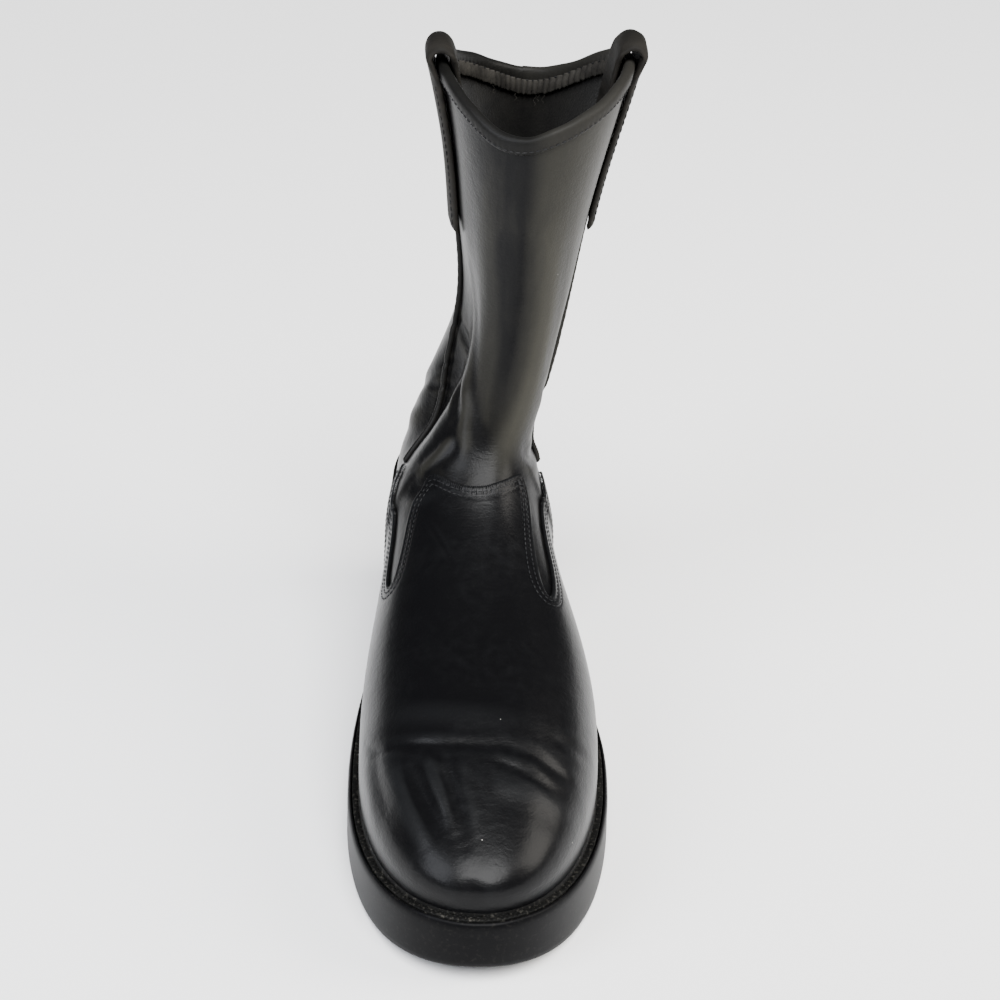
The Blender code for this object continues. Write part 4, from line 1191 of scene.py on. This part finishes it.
# %% Outsole and heel
NONE = float("nan")
SOLE_COLUMNS = 420
SOLE_ROWS = (
    (NONE, 0, -0.3, 1), (1.35, 0.50, -0.3, 1), (1.35, 0.56, -0.2, 1), (1.30, 0.585, 1.6, 1),
    (1.25, 0.62, 2.25, 1), (1.0, 0.68, 2.3, 1), (0.5, 0.86, 1.35, 1), (0.1, 0.975, 0.35, 1),
    (0.0, 1.01, -0.8, 1), (0.05, 1.015, -2.4, 1), (0.10, 1.015, 0, 0.66), (0.22, 1.02, 0, 0.40),
    (0.34, 1.02, 0, 0.16), (0.30, 1.015, 0, 0.075), (0.0, 1.0, 0, 0.03), (-0.8, 1, 0, 0.0),
    (-2.4, 1, 0, 0.0), (NONE, 0, 0, 0.0),
)
outsole_mesh = bent_grid(SOLE_COLUMNS, len(SOLE_ROWS) - 1,
                         sweep_place(section_of(SOLE_ROWS), SOLE_COLUMNS))
bmesh.ops.recalc_face_normals(outsole_mesh, faces=outsole_mesh.faces)
outsole = as_piece("rubber_outsole", outsole_mesh, sole_rubber, ("outsole",))

HEEL_ROWS = (
    (NONE, 0, 20, 0), (-1.0, 1, 20, 0), (-0.3, 1, 19.6, 0), (0.0, 1, 18.8, 0), (0.1, 1.01, 17.0, 0),
    (0.5, 1.02, 2.0, 0), (0.3, 1.02, 0.7, 0), (-0.6, 1, 0.05, 0), (-1.2, 1, 0, 0), (NONE, 0, 0, 0),
)

heel_mesh = bent_grid(SOLE_COLUMNS, len(HEEL_ROWS) - 1,
                      sweep_place(section_of(HEEL_ROWS), SOLE_COLUMNS, from_floor=True))
bmesh.ops.bisect_plane(heel_mesh,
                       geom=heel_mesh.verts[:] + heel_mesh.edges[:] + heel_mesh.faces[:],
                       plane_co=(0, HEEL_BREAST, 0), plane_no=(0, -1, 0), clear_outer=True)
breast = [e for e in heel_mesh.edges if e.is_boundary]
bmesh.ops.holes_fill(heel_mesh, edges=breast)
bmesh.ops.recalc_face_normals(heel_mesh, faces=heel_mesh.faces)
heel = as_piece("rubber_heel", heel_mesh, sole_rubber, ("heel",))


GROOVE_PITCH, GROOVE_WIDTH, GROOVE_DEPTH = 14 * MM, 4.5 * MM, 2.6 * MM


def cut_grooves(target, first, count, reach):
    """Cuts the tread grooves of the solids into the dressed sole."""
    samples = {side: form(0.0, side * np.linspace(0.02, 1.98, 200)) for side in (-1, 1)}
    mesh = bmesh.new()
    for k in range(count):
        y = first - k * GROOVE_PITCH
        ends = []
        for side in (-1, 1):
            order = np.argsort(samples[side][:, 1])
            ends.append(np.interp(y, samples[side][order, 1], samples[side][order, 0])
                        - side * reach)
        for vert in bmesh.ops.create_cube(mesh, size=1)["verts"]:
            vert.co.x = ends[0] if vert.co.x < 0 else ends[1]
            vert.co.y = y + GROOVE_WIDTH * vert.co.y
            vert.co.z = GROOVE_DEPTH if vert.co.z > 0 else -GROOVE_DEPTH
    cutter = linked("groove_cutter", mesh)
    cut = target.modifiers.new("grooves", 'BOOLEAN')
    cut.operation, cut.solver, cut.object = 'DIFFERENCE', 'EXACT', cutter
    done = bpy.data.meshes.new_from_object(
        target.evaluated_get(bpy.context.evaluated_depsgraph_get()))
    target.modifiers.clear()
    target.data = done
    bpy.data.objects.remove(cutter)
    print(target.name, "after grooves:", len(done.polygons))


tread_start = BACK_REACH - FORM_SHIFT - TREAD_FLAT[0] * LAST_LENGTH
# first groove, number of grooves, ends inside the feather line
cut_grooves(outsole, tread_start - 6 * MM, 6, 4 * MM)
cut_grooves(heel, HEEL_BREAST + 46 * MM, 3, 6 * MM)

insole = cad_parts["insole"]
for material_slot in insole.material_slots:
    material_slot.material = board
print("insole keeps its solid")

# %% [markdown]
# The photo looks down at about thirty degrees from in front of the toe. The camera
# stands where a fit to marks on the boot put it, and its lens is shifted to frame the
# one boot. Light is that of a bright room: soft daylight from above and in front, a
# window on either side, and a pale surround.

# %% Camera, floor and light
CAMERA_PLACE = Vector((-33.2, -776.2, 494.4)) * MM
LENS = 63.9
YAW, PITCH, ROLL = np.radians((-1.666, 29.246, -0.949))
SHIFT = (0.147, 0.009)

forward = np.array((np.sin(YAW) * np.cos(PITCH), np.cos(YAW) * np.cos(PITCH), -np.sin(PITCH)))
level = np.array((np.cos(YAW), -np.sin(YAW), 0))
over = np.cross(level, forward)
right_way = np.cos(ROLL) * level + np.sin(ROLL) * over
up_way = np.cos(ROLL) * over - np.sin(ROLL) * level

eye = bpy.data.cameras.new("eye")
eye.lens, eye.sensor_width = LENS, 36
eye.shift_x, eye.shift_y = SHIFT
camera = bpy.data.objects.new("eye", eye)
turned = Matrix((right_way, up_way, -forward)).transposed()
camera.location = CAMERA_PLACE
camera.rotation_euler = turned.to_euler()
bpy.context.scene.collection.objects.link(camera)
bpy.context.scene.camera = camera

floor_mesh = bmesh.new()
bmesh.ops.create_grid(floor_mesh, x_segments=1, y_segments=1, size=6)
floor = linked("floor", floor_mesh)
pale = bpy.data.materials.new("pale_paper")
pale.use_nodes = True
pale.node_tree.nodes["Principled BSDF"].inputs["Base Color"].default_value = hex_color("#f6f6f6")
pale.node_tree.nodes["Principled BSDF"].inputs["Roughness"].default_value = 0.9
floor.data.materials.append(pale)

world = bpy.data.worlds.new("surround")
world.use_nodes = True
world.node_tree.nodes["Background"].inputs["Color"].default_value = hex_color("#f2f4f8")
world.node_tree.nodes["Background"].inputs["Strength"].default_value = 0.20
bpy.context.scene.world = world


WINDOW_AIM = (0, -0.1, 0.15)


def window(name, place, size, power, color):
    light = bpy.data.lights.new(name, 'AREA')
    light.shape, light.size, light.size_y = 'RECTANGLE', size[0], size[1]
    light.energy = power
    light.color = hex_color(color)[:3]
    made = bpy.data.objects.new(name, light)
    made.location = place
    made.rotation_euler = (Vector(WINDOW_AIM) - Vector(place)).to_track_quat('-Z', 'Y').to_euler()
    bpy.context.scene.collection.objects.link(made)


sun = bpy.data.lights.new("daylight", 'SUN')
sun.energy, sun.angle = 7.4, np.radians(40)
daylight = bpy.data.objects.new("daylight", sun)
daylight.rotation_euler = Euler(np.radians((28, 8, 0)))
bpy.context.scene.collection.objects.link(daylight)
window("window_left", (-0.95, -0.75, 1.0), (0.7, 1.1), 26, "#f4f7ff")
window("window_right", (1.2, -0.3, 0.9), (0.7, 1.0), 26, "#fffaf2")
